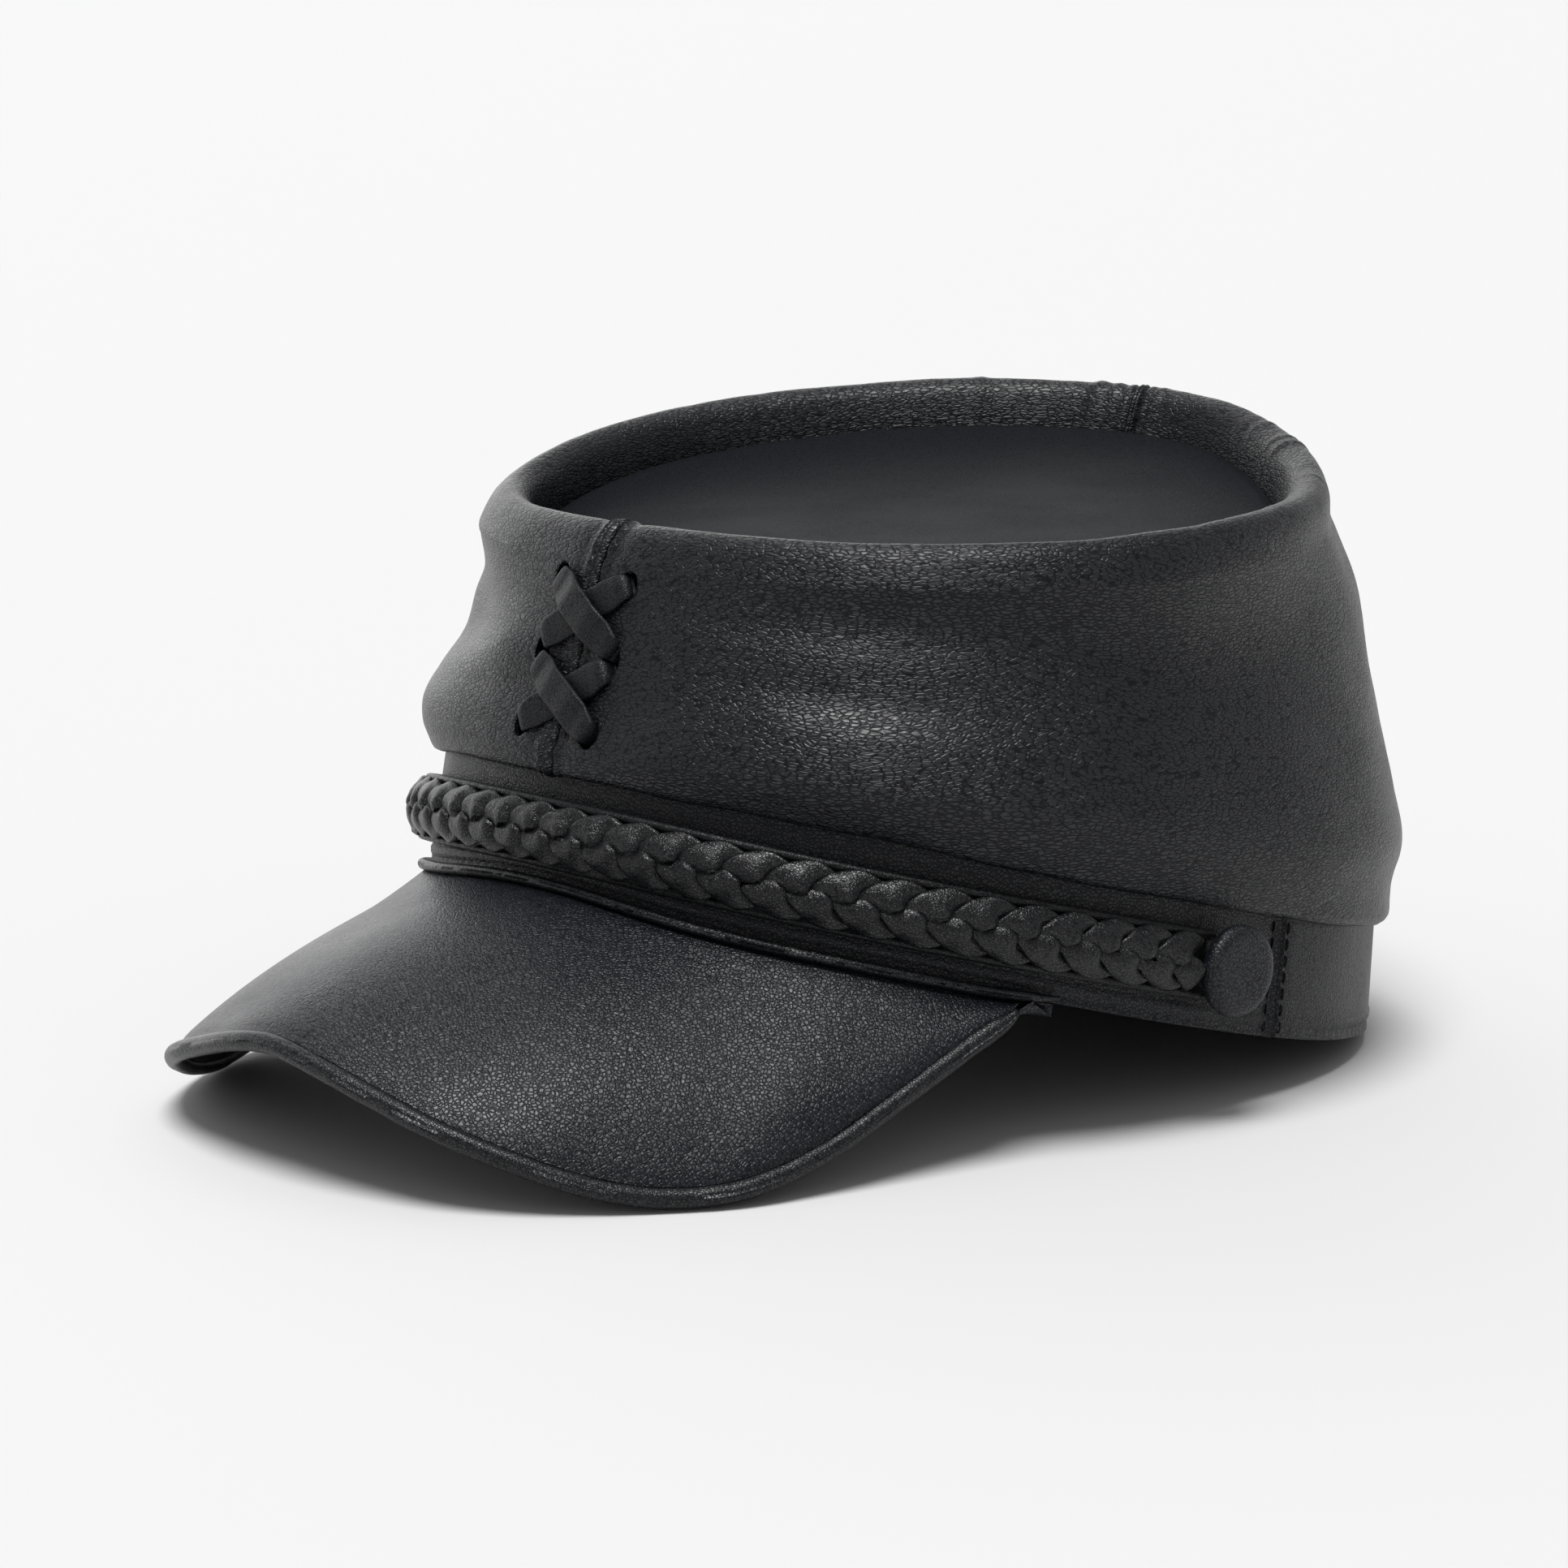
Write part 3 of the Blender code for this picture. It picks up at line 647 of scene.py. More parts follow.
@dataclass
class Band:
    """The stiff band round the head, in two stretches sewn together at the side seams."""

    half_width: float = 91.1 * MM
    half_length: float = 102.0 * MM
    squareness: float = 2.23
    height: float = 29.0 * MM
    wall: float = 2.2 * MM
    saddle: float = 2.4 * MM
    front_dip: float = 3.4 * MM
    front_lift: float = 2.7 * MM
    lean: float = 0.13
    taper: float = 0.09
    seam_angle: float = -8.0
    hem: float = 3.4 * MM
    gap: float = 0.3 * MM
    rows: int = 56
    columns_per_degree: float = 1.6
    joint: float = 0.1 * MM
    edge_rounding: float = 0.5 * MM
    stitch_sink: float = 0.45 * MM
    hem_swell: float = 0.25 * MM
    hem_tuck: float = 0.08 * MM
    seam_sink: float = 0.8 * MM
    seam_ridge: float = 0.2 * MM

    def outline(self, angle: float) -> Vector:
        """The band's outer outline in plan.

        Args:
            angle: The angle round the band, in degrees.

        Returns:
            The point, at height 0.
        """
        turn = math.radians(angle)
        power = 2 / self.squareness
        return Vector(
            (
                self.half_width * signed_power(math.cos(turn), power),
                -self.half_length * signed_power(math.sin(turn), power),
                0.0,
            )
        )

    def outward(self, angle: float) -> Vector:
        """The level direction that points out of the band."""
        along = self.outline(angle + 0.5) - self.outline(angle - 0.5)
        return Vector((-along.y, along.x, 0.0)).normalized()

    def seat(self, angle: float) -> float:
        """How far the band's level lines rise and fall round the head."""
        turn = math.radians(angle)
        return -self.saddle * math.cos(2 * turn) - self.front_dip * math.sin(turn) ** 3

    def low_edge(self, angle: float) -> float:
        """The height of the lower edge, which lifts over the middle of the peak."""
        front = max(0.0, math.sin(math.radians(angle)))
        return self.seat(angle) + self.front_lift * front**20

    def point(self, angle: float, height: float, out: float) -> Vector:
        """A point by its angle, its height above the seat line and its distance out.

        Args:
            angle: The angle round the band, in degrees.
            height: The height above the seat line.
            out: The distance out from the band.

        Returns:
            The point.
        """
        place = self.outline(angle) + out * self.outward(angle)
        lean = self.lean - self.taper * math.sin(math.radians(angle))
        return place + Vector((0.0, -lean * height, self.seat(angle) + height))

    def stretch(self, bench: Bench, name: str, start: float, end: float, node: str) -> None:
        """One stretch of the band, with a turned hem at its lower edge and at its seams.

        Args:
            bench: Where the piece is made.
            name: The piece's name.
            start: The angle at which it starts.
            end: The angle at which it ends.
            node: The CAD node that it stands for.
        """
        columns = round(abs(end - start) * self.columns_per_degree)
        length = math.radians(end - start) * (self.half_width + self.half_length) / 2
        inset = self.joint / length

        def place(along: float, across: float) -> Vector:
            """Lays the stretch round the head.

            Args:
                along: The share of the way along it.
                across: The share of the way across it.

            Returns:
                The point.
            """
            angle = start + (inset + along * (1 - 2 * inset)) * (end - start)
            low = self.low_edge(angle) - self.seat(angle)
            return self.point(angle, low + across * (self.height - low), -self.wall / 2)

        def relief(along: float, across: float) -> float:
            """Sinks the stitched hem and draws the leather in at the seams.

            Args:
                along: The share of the way along it.
                across: The share of the way across it.

            Returns:
                The relief there, in metres.
            """
            angle = start + along * (end - start)
            low = self.low_edge(angle) - self.seat(angle)
            above = across * (self.height - low)
            edge = min(along, 1 - along) * length
            sewn = -self.stitch_sink * bell(above - self.hem, 0.55 * MM)
            turned = bell(above - self.hem / 2, self.hem / 2)
            hem = turned * (self.hem_swell + self.hem_tuck * math.sin(angle * 3.1))
            seam = -self.seam_sink * bell(edge, 0.6 * MM)
            seam += self.seam_ridge * bell(edge - 2.0 * MM, 1.2 * MM)
            return sewn + hem + seam

        form = sheet_form(columns, self.rows, place, relief)
        obj = bench.piece(name, form, Finish.BAND, (node,), self.wall)
        round_edges(obj, self.edge_rounding)

    def build(self, bench: Bench) -> None:
        """Makes both stretches.

        Args:
            bench: Where the pieces are made.
        """
        left, right = self.seam_angle, 180 - self.seam_angle
        self.stretch(bench, "band_front_skin", left, right, "band_front")
        self.stretch(bench, "band_rear_skin", right, 360 + left, "band_rear")


@dataclass
class Crown:
    """The soft crown: two panels that fold over the band and roll in at the top."""

    band: Band
    wall: float = 1.2 * MM
    fold_height: float = 24.0 * MM
    leg_spacing: float = 1.6 * MM
    rim_half_width: float = 82.5 * MM
    rim_half_length: float = 82.8 * MM
    rim_forward: float = 14.8 * MM
    rim_egg: float = 0.19
    rim_height: float = 101.4 * MM
    rim_slope: float = 27.3 * MM
    rim_lean: float = 4.8 * MM
    rim_sag: float = 1.7 * MM
    rim_corner_sag: float = 2.5 * MM
    roll_radius: float = 5.2 * MM
    roll_depth: float = 12.8 * MM
    top_depth: float = 11.2 * MM
    seam_angle: float = 252.0
    puff: float = 6.2 * MM
    dent: float = 4.5 * MM
    rows: int = 150
    column_width: float = 1.1 * MM
    pinch_pitch: float = 4.6 * MM
    joint_degrees: float = 0.03
    front_reach: float = 60.0
    rear_seam_share: float = 0.55
    level_stretch: float = 2.2
    hole_radius: float = 2.3 * MM
    punch_length: float = 12 * MM
    top_columns: int = 160
    top_rows: int = 34

    # The wall, as shares of puff that it stands out from a straight line: at each angle from
    # the front round to the back, one value for each share of the height.
    puff_shares = (0.0, 0.09, 0.20, 0.34, 0.50, 0.66, 0.82, 1.0)
    puff_table = {
        0.0: (0.0, 0.12, 0.06, -0.08, -0.05, 0.00, 0.00, 0.0),
        45.0: (0.0, 0.46, 0.64, 0.33, -0.07, -0.12, -0.40, 0.0),
        90.0: (0.0, 0.43, 0.71, 0.58, 0.25, -0.16, -0.30, 0.0),
        140.0: (0.0, 0.22, 0.80, 0.76, 0.64, 0.55, 0.57, 0.0),
        180.0: (0.0, 0.40, 0.74, 0.77, 0.70, 0.58, 0.46, 0.0),
    }
    # The rolled edge, as shares of its radius inwards from the crest and of its depth down.
    roll_sections = (
        (-0.86, 0.62),
        (-0.56, 0.19),
        (0.0, 0.0),
        (0.72, 0.14),
        (1.0, 0.50),
        (1.06, 1.0),
    )
    # Pulled folds on the roll: angle, spread in degrees, depth as a share.
    folds = ((244.0, 1.1, 0.9), (247.5, 0.8, 0.6), (224.0, 0.9, 0.5), (256.0, 1.0, 0.5))
    # Dents and bulges: angle, share of wall, spread in degrees, spread in share, share of dent.
    dents = (
        (121.0, 0.66, 13.0, 0.20, -0.85),
        (104.0, 0.52, 10.0, 0.12, 0.30),
        (20.0, 0.74, 24.0, 0.16, -0.45),
        (52.0, 0.34, 20.0, 0.16, 0.35),
        (-20.0, 0.30, 20.0, 0.20, 0.25),
        (200.0, 0.66, 26.0, 0.18, -0.45),
        (262.0, 0.60, 20.0, 0.22, -0.35),
    )

    def rim(self, angle: float) -> Vector:
        """The crest of the rolled edge in plan, narrower behind than in front.

        Args:
            angle: The angle round the band, in degrees.

        Returns:
            The point, at height 0.
        """
        turn = math.radians(angle)
        across = self.rim_half_width * math.cos(turn) * (1 + self.rim_egg * math.sin(turn))
        return Vector((across, -self.rim_forward - self.rim_half_length * math.sin(turn), 0.0))

    def rim_outward(self, angle: float) -> Vector:
        """The level direction that points out of the rim."""
        along = self.rim(angle + 0.5) - self.rim(angle - 0.5)
        return Vector((-along.y, along.x, 0.0)).normalized()

    def crest(self, angle: float) -> float:
        """The height of the crest: down to the front and a little to the left.

        Args:
            angle: The angle round the band, in degrees.

        Returns:
            The height.
        """
        turn = math.radians(angle)
        return (
            self.rim_height
            - self.rim_slope * math.sin(turn)
            - self.rim_lean * math.cos(turn)
            + self.rim_sag * math.sin(2 * turn)
            - self.rim_corner_sag * max(0.0, -math.sin(2 * turn)) ** 1.5
        )

    def roll_point(self, angle: float, inwards: float, down: float) -> Vector:
        """A point of the roll, by its shares inwards from the crest and down.

        Args:
            angle: The angle round the band, in degrees.
            inwards: How far in from the crest, as a share of the roll's radius.
            down: How far down from the crest, as a share of the roll's depth.

        Returns:
            The point.
        """
        place = self.rim(angle) - inwards * self.roll_radius * self.rim_outward(angle)
        place.z = self.crest(angle) - down * self.roll_depth
        return place

    def puff_at(self, angle: float, share: float) -> float:
        """How far the wall stands out from a straight line.

        Args:
            angle: The angle round the band, in degrees.
            share: The share of the wall's height.

        Returns:
            The distance, in metres.
        """
        away = abs(turn_between(angle, 90.0))
        stops = list(self.puff_table)
        index = next(i for i in range(len(stops) - 1) if away <= stops[i + 1])
        part = (away - stops[index]) / (stops[index + 1] - stops[index])
        part = (1 - math.cos(math.pi * part)) / 2
        near = curve_at(self.puff_shares, self.puff_table[stops[index]], share)
        far = curve_at(self.puff_shares, self.puff_table[stops[index + 1]], share)
        return self.puff * (near * (1 - part) + far * part)

    def dents_at(self, angle: float, share: float) -> float:
        """The dents and bulges at a place on the wall, outwards.

        Args:
            angle: The angle round the band, in degrees.
            share: The share of the wall's height.

        Returns:
            The distance, in metres.
        """
        total = 0.0
        for at_angle, at_share, spread_angle, spread_share, depth in self.dents:
            near = bell(turn_between(angle, at_angle), spread_angle)
            total += self.dent * depth * near * bell(share - at_share, spread_share)
        return total

    def inner_leg(self) -> float:
        """How far the fold's inner leg lies out from the band."""
        return self.band.gap + self.wall / 2

    def wall_point(self, angle: float, share: float) -> Vector:
        """A point of the wall's middle surface, from the fold up to the roll.

        Args:
            angle: The angle round the band, in degrees.
            share: The share of the way up from the fold to the roll.

        Returns:
            The point.
        """
        outer = self.inner_leg() + self.leg_spacing
        foot = self.band.point(angle, self.fold_height + self.wall, outer)
        top = self.roll_point(angle, *self.roll_sections[0])
        fade = math.sin(math.pi * share)
        out = self.puff_at(angle, share) + self.dents_at(angle, share) * fade
        return foot.lerp(top, share) + out * self.band.outward(angle)

    def section(self, angle: float) -> np.ndarray:
        """The whole section at an angle, from inside the fold to the foot of the roll.

        Args:
            angle: The angle round the band, in degrees.

        Returns:
            The section's points, one a row.
        """
        half = self.wall / 2
        inner = self.inner_leg()
        points = [
            self.band.point(angle, self.band.height, inner),
            self.band.point(angle, self.fold_height + half + self.leg_spacing / 3, inner),
            self.band.point(angle, self.fold_height + half, inner + self.leg_spacing / 2),
        ]
        points += [self.wall_point(angle, index / 25) for index in range(26)]
        points += [self.roll_point(angle, *row) for row in self.roll_sections[1:]]
        return smooth_line(np.array(points), self.rows + 1)

    def front_face(self, across: float, height: float) -> tuple[Vector, Vector]:
        """Finds a place on the outside of the front wall.

        Args:
            across: How far towards the wearer's left.
            height: How high.

        Returns:
            The point and the direction out of the wall there.
        """

        def wall_at(angle: float, level: float) -> Vector:
            """Finds a height on the wall by halving.

            Args:
                angle: The angle round the band, in degrees.
                level: The height that is looked for.

            Returns:
                The wall's point at that height.
            """
            low, high = 0.0, 1.0
            for _ in range(24):
                middle = (low + high) / 2
                if self.wall_point(angle, middle).z < level:
                    low = middle
                else:
                    high = middle
            return self.wall_point(angle, low)

        angle = 90.0
        for _ in range(8):
            angle += math.degrees((wall_at(angle, height).x - across) / self.band.half_width)
        point = wall_at(angle, height)
        along = wall_at(angle - 1, height) - wall_at(angle + 1, height)
        up = wall_at(angle, height + MM) - wall_at(angle, height - MM)
        out = along.cross(up).normalized()
        return point + out * self.wall / 2, out

    def angles(self, start: float, end: float) -> list[float]:
        """Angles across a panel, closer together beside its seams.

        Args:
            start: The angle at which it starts.
            end: The angle at which it ends.

        Returns:
            The angles, from the first seam to the last.
        """
        length = math.radians(end - start) * self.rim_half_length
        stops = [0.0]
        while stops[-1] < length / 2:
            stops.append(stops[-1] + min(self.column_width, 0.35 * MM + stops[-1] * 0.08))
        scale = (length / 2) / stops[-1]
        half = [stop * scale / length for stop in stops]
        shares = half + [1 - share for share in reversed(half[:-1])]
        return [start + share * (end - start) for share in shares]

    def seam_relief(self, away: float, up: float) -> float:
        """How a seam shapes the leather beside it.

        Args:
            away: How far the place is from the seam.
            up: How far along the seam it is.

        Returns:
            The height there: a groove, a full ridge beside it and pinches at the stitches.
        """
        pinch = 0.5 + 0.5 * math.cos(2 * math.pi * up / self.pinch_pitch)
        return (
            -1.0 * MM * bell(away, 0.40 * MM)
            + (1.0 - 0.30 * pinch) * MM * bell(away - 1.15 * MM, 0.65 * MM)
            - (0.20 + 0.40 * pinch) * MM * bell(away - 2.3 * MM, 0.5 * MM)
            + 0.20 * MM * bell(away - 4.5 * MM, 1.6 * MM)
        )

    def panel(
        self, bench: Bench, name: str, start: float, end: float, node: str
    ) -> bpy.types.Object:
        """One panel of the crown, between two seams.

        Args:
            bench: Where the piece is made.
            name: The piece's name.
            start: The angle of its first seam.
            end: The angle of its last seam.
            node: The CAD node that it stands for.

        Returns:
            The panel.
        """
        angles = self.angles(start + self.joint_degrees, end - self.joint_degrees)
        sections = [self.section(angle) for angle in angles]
        columns = len(angles) - 1

        def place(along: float, across: float) -> Vector:
            """Lays the panel section by section."""
            return Vector(sections[round(along * columns)][round(across * self.rows)])

        def relief(along: float, across: float) -> float:
            """Works the seams, the soft waves, the tucks and the puckers.

            Args:
                along: The share of the way along it.
                across: The share of the way across it.

            Returns:
                The relief there, in metres.
            """
            column, row = round(along * columns), round(across * self.rows)
            angle, point = angles[column], place(along, across)
            away = min((point - Vector(sections[end][row])).length for end in (0, -1))
            on_front = abs(turn_between(angle, 90.0)) < self.front_reach
            strength = 1.0 if on_front else self.rear_seam_share
            seam = strength * self.seam_relief(away, point.z) * min(1.0, across * 12)
            # The small waves lie level, because the skin is stretched round the head.
            level = Vector((point.x / self.level_stretch, point.y / self.level_stretch, point.z))
            waves = 0.45 * MM * ripple(point, 24 * MM, 1.0)
            waves += 0.13 * MM * ripple(level, 7.0 * MM, 2.0)
            waves += 0.05 * MM * ripple(level, 3.4 * MM, 8.0)
            lip = bell(across - 0.045, 0.03)
            tucks = lip * 0.5 * MM * ripple(Vector((angle * 0.09, across * 6, 0)), 1.0, 3.0)
            on_roll = max(0.0, min(1.0, (across - 0.80) * 12))
            return seam + waves + tucks + on_roll * self.puckers(angle)

        form = sheet_form(columns, self.rows, place, relief)
        return bench.piece(name, form, Finish.CROWN, (node,), self.wall)

    def puckers(self, angle: float) -> float:
        """Small pulled folds on the roll, closest together beside the rear seams.

        Args:
            angle: The angle round the band, in degrees.

        Returns:
            The relief there, in metres.
        """
        depth = 0.12 * MM * ripple(Vector((angle * 0.35, 0.0, 0.0)), 1.0, 5.0)
        for at, spread, deep in self.folds:
            depth -= deep * MM * 0.6 * bell(turn_between(angle, at), spread)
            depth -= deep * MM * 0.5 * bell(turn_between(angle, 180 - at), spread)
        return depth

    def build(self, bench: Bench, holes: list[tuple[Vector, Vector, float]]) -> None:
        """Makes the two panels and the sunk top.

        Args:
            bench: Where the pieces are made.
            holes: Lace holes, each a point on the wall, the way out and a height share.
        """
        left = self.panel(bench, "crown_left_skin", self.seam_angle - 360, 90, "side_panel_left")
        right = self.panel(bench, "crown_right_skin", 90, self.seam_angle, "side_panel_right")
        self.punch(bench, (left, right), holes)
        self.top(bench)

    def punch(
        self,
        bench: Bench,
        panels: tuple[bpy.types.Object, ...],
        holes: list[tuple[Vector, Vector, float]],
    ) -> None:
        """Cuts the lace holes through the front panels.

        Args:
            bench: Where the pieces are made.
            panels: The two panels.
            holes: Lace holes, each a point on the wall, the way out and a height share.
        """
        tools = bpy.data.collections.new("punches")
        bpy.context.scene.collection.children.link(tools)
        cutter = bmesh.new()
        for point, out, tall in holes:
            turn = out.to_track_quat("Z", "Y").to_matrix().to_4x4()
            stretch = Matrix.Diagonal((1.0, tall, 1.0, 1.0))
            bmesh.ops.create_cone(
                cutter,
                cap_ends=True,
                segments=24,
                radius1=self.hole_radius,
                radius2=self.hole_radius,
                depth=self.punch_length,
                matrix=bench.lie() @ Matrix.Translation(point) @ turn @ stretch,
            )
        mesh = bpy.data.meshes.new("punch")
        cutter.to_mesh(mesh)
        cutter.free()
        tool = bpy.data.objects.new("punch", mesh)
        tools.objects.link(tool)
        for panel in panels:
            punched = panel.modifiers.new("punched", "BOOLEAN")
            punched.operation = "DIFFERENCE"
            punched.solver = "EXACT"
            punched.object = tool
            graph = bpy.context.evaluated_depsgraph_get()
            cut = bpy.data.meshes.new_from_object(panel.evaluated_get(graph))
            panel.modifiers.clear()
            panel.data = cut
        bpy.data.objects.remove(tool)
        bpy.data.collections.remove(tools)

    def top(self, bench: Bench) -> None:
        """The flat top on its board, sunk below the rolled edge.

        Args:
            bench: Where the pieces are made.
        """
        inset = self.roll_radius * self.roll_sections[-1][0] + self.wall / 2
        slope = self.rim_slope / self.rim_half_length
        level = self.rim_height - self.top_depth

        def place(along: float, across: float) -> Vector:
            """Lays the top flat in the middle and level with the roll at its edge.

            Args:
                along: The share of the way along it.
                across: The share of the way across it.

            Returns:
                The point.
            """
            angle = 360.0 * along
            edge = self.rim(angle) - inset * self.rim_outward(angle)
            edge.z = self.crest(angle) - self.top_depth
            middle = Vector((0.0, -self.rim_forward, level))
            point = middle.lerp(edge, across)
            plane = level + slope * (point.y - middle.y)
            at_edge = level + slope * (edge.y - middle.y)
            point.z = plane + (edge.z - at_edge) * across**3
            return point + Vector((0, 0, 0.25 * MM * ripple(point, 38 * MM, 9.0)))

        form = sheet_form(self.top_columns, self.top_rows, place)
        bmesh.ops.remove_doubles(form, verts=form.verts, dist=WELD)
        bmesh.ops.recalc_face_normals(form, faces=form.faces)
        bench.piece("top_skin", form, Finish.TOP, ("top_panel",), self.wall)


@dataclass
class Strap:
    """The strap across the front, its three-strand plait and the two buttons."""

    band: Band
    width: float = 13.8 * MM
    wall: float = 1.7 * MM
    middle: float = 12.7 * MM
    sag: float = 1.0 * MM
    end_angle: float = 2.9
    plait_end: float = 5.6
    swing: float = 3.1 * MM
    weave: float = 0.95 * MM
    period: float = 26.5 * MM
    strand_width: float = 6.4 * MM
    strand_wall: float = 2.6 * MM
    button_radius: float = 9.2 * MM
    button_height: float = 4.0 * MM
    button_stand: float = 4.0 * MM
    button_angle: float = 1.0
    bead: float = 0.95 * MM
    bank_degrees: float = 24.0
    pole: float = 0.001 * MM

    def point(self, angle: float, height: float, out: float) -> Vector:
        """A point of the strap by its height above its middle, which sags before a button."""
        sag = self.sag * math.sin(math.radians(2 * angle)) ** 2
        return self.band.point(angle, self.middle - sag + height, out)

    def base(self, bench: Bench) -> None:
        """The strap itself, with a rolled and sewn edge along each side.

        Args:
            bench: Where the pieces are made.
        """
        half, lift, bead = self.width / 2, self.band.gap + self.wall, self.bead
        outline = [(-half + 0.2 * MM, self.band.gap), (-half - 0.05 * MM, lift * 0.6)]
        outline += [
            (-half + bead - bead * math.cos(turn), lift + 0.35 * MM + bead * math.sin(turn))
            for turn in np.linspace(0.1, math.pi - 0.1, 7).tolist()
        ]
        outline += [(-half + 2.15 * bead, lift - 0.05 * MM), (-half + 3.0 * bead, lift + 0.15 * MM)]
        outline += [(-x, z) for x, z in reversed(outline)]
        sides = len(outline)

        def place(along: float, across: float) -> Vector:
            """Runs the strap's outline along the band.

            Args:
                along: The share of the way along it.
                across: The share of the way across it.

            Returns:
                The point.
            """
            angle = 180 - self.end_angle - along * (180 - 2 * self.end_angle)
            height, out = outline[round(across * sides) % sides]
            on_bead = abs(height) > half - 2 * bead
            wave = 0.10 * MM * math.sin(angle * 2.9) if on_bead else 0
            return self.point(angle, height, out + wave)

        form = close_form(sheet_form(260, sides, place))
        bench.piece("strap_skin", form, Finish.STRAP, ("strap_base",))

    def plait(self, bench: Bench) -> None:
        """The three strands, plump where they lie on top and drawn in where they dive.

        Args:
            bench: Where the pieces are made.
        """
        angles = np.linspace(180 - self.plait_end, self.plait_end, 181).tolist()
        spots = np.array([self.point(angle, 0, 0) for angle in angles])
        steps = np.linalg.norm(np.diff(spots, axis=0), axis=1)
        travelled = np.concatenate([[0], np.cumsum(steps)])
        length = travelled[-1]
        periods = round(length / self.period)
        depth = self.band.gap + self.wall + self.strand_wall / 2 + 0.6 * self.weave

        for index, letter in enumerate("abc"):

            def angle_at(share: float) -> float:
                """The angle at a share of the plait's length."""
                return float(np.interp(share * length, travelled, angles))

            def phase_at(share: float, index: int = index) -> float:
                """Where in its swing the strand is."""
                return 2 * math.pi * (periods * share + index / 3)

            def path(share: float) -> Vector:
                """Swings the strand's middle line from side to side.

                Args:
                    share: The share of the way along it.

                Returns:
                    The point.
                """
                phase = phase_at(share)
                swing = self.swing * math.sin(phase)
                return self.point(angle_at(share), swing, depth + self.weave * math.sin(2 * phase))

            def place(along: float, across: float) -> Vector:
                """Wraps the strand round its line, banked and creased.

                Args:
                    along: The share of the way along it.
                    across: The share of the way across it.

                Returns:
                    The point.
                """
                turn = 2 * math.pi * across
                point, side, face = frame_on(path, along, self.band.outward(angle_at(along)))
                phase = phase_at(along)
                bank = math.radians(self.bank_degrees) * math.cos(3 * phase)
                banked = side * math.cos(bank) - face * math.sin(bank)
                raised = face * math.cos(bank) + side * math.sin(bank)
                proud = 0.5 + 0.5 * math.sin(2 * phase)
                width = self.strand_width / 2 * (0.90 + 0.12 * proud)
                wall = self.strand_wall / 2 * (0.82 + 0.28 * proud)
                travel = along * periods
                crease = 1 + 0.07 * noise.noise(Vector((travel * 2.2, across * 9, index * 5.0)))
                crease += 0.055 * noise.noise(Vector((travel * 4, across * 30, index * 9.0)))
                upper = signed_power(math.sin(turn), 0.8)
                return point + crease * (banked * width * math.cos(turn) + raised * wall * upper)

            form = close_form(sheet_form(periods * 44, 28, place))
            bench.piece("plait_thong_" + letter, form, Finish.PLAIT, ("plait_strand_" + letter,))

    def button(self, bench: Bench, name: str, angle: float, node: str) -> None:
        """A mould covered with leather, gathered round its rim, on its short shank.

        Args:
            bench: Where the piece is made.
            name: The piece's name.
            angle: Where it sits on the band.
            node: The CAD node that it stands for.
        """
        radius, tall = self.button_radius, self.button_height
        base = self.band.gap + self.button_stand
        profile = np.array(
            [
                (self.pole, 0, base + tall * 0.985),
                (0.50 * radius, 0, base + tall),
                (0.80 * radius, 0, base + 0.97 * tall),
                (0.93 * radius, 0, base + 0.84 * tall),
                (0.995 * radius, 0, base + 0.60 * tall),
                (0.99 * radius, 0, base + 0.30 * tall),
                (0.93 * radius, 0, base + 0.06 * tall),
                (0.75 * radius, 0, base),
                (0.25 * radius, 0, base),
                (0.22 * radius, 0, self.band.gap),
                (self.pole, 0, self.band.gap),
            ]
        )
        rows = 55
        line = smooth_line(profile, rows + 1)
        facing = self.band.outward(angle).to_track_quat("Z", "Y").to_matrix()
        middle = self.band.point(angle, self.middle, 0)

        def place(along: float, across: float) -> Vector:
            """Turns the profile round, gathered at the rim.

            Args:
                along: The share of the way along it.
                across: The share of the way across it.

            Returns:
                The point.
            """
            turn = 2 * math.pi * along
            reach, _, height = line[round(across * rows)].tolist()
            side = bell(height - base - 0.35 * tall, 0.4 * tall)
            side *= bell(reach - radius, 0.4 * radius)
            around = Vector((math.cos(turn), math.sin(turn), 0))
            gather = 1 + side * 0.028 * noise.noise(around * 4.5 + Vector((0, 0, height * 500)))
            if height > base + 0.9 * tall:
                height += 0.12 * MM * ripple(around * reach, 7 * MM, 4.0)
            spot = around * (reach * gather)
            spot.z = height
            return middle + facing @ spot

        form = close_form(sheet_form(96, rows, place))
        bench.piece(name, form, Finish.BUTTON, (node,))

    def build(self, bench: Bench) -> None:
        """Makes the strap, the plait and both buttons.

        Args:
            bench: Where the pieces are made.
        """
        self.base(bench)
        self.plait(bench)
        self.button(bench, "button_left_cover", self.button_angle, "side_button_left")
        self.button(bench, "button_right_cover", 180 - self.button_angle, "side_button_right")


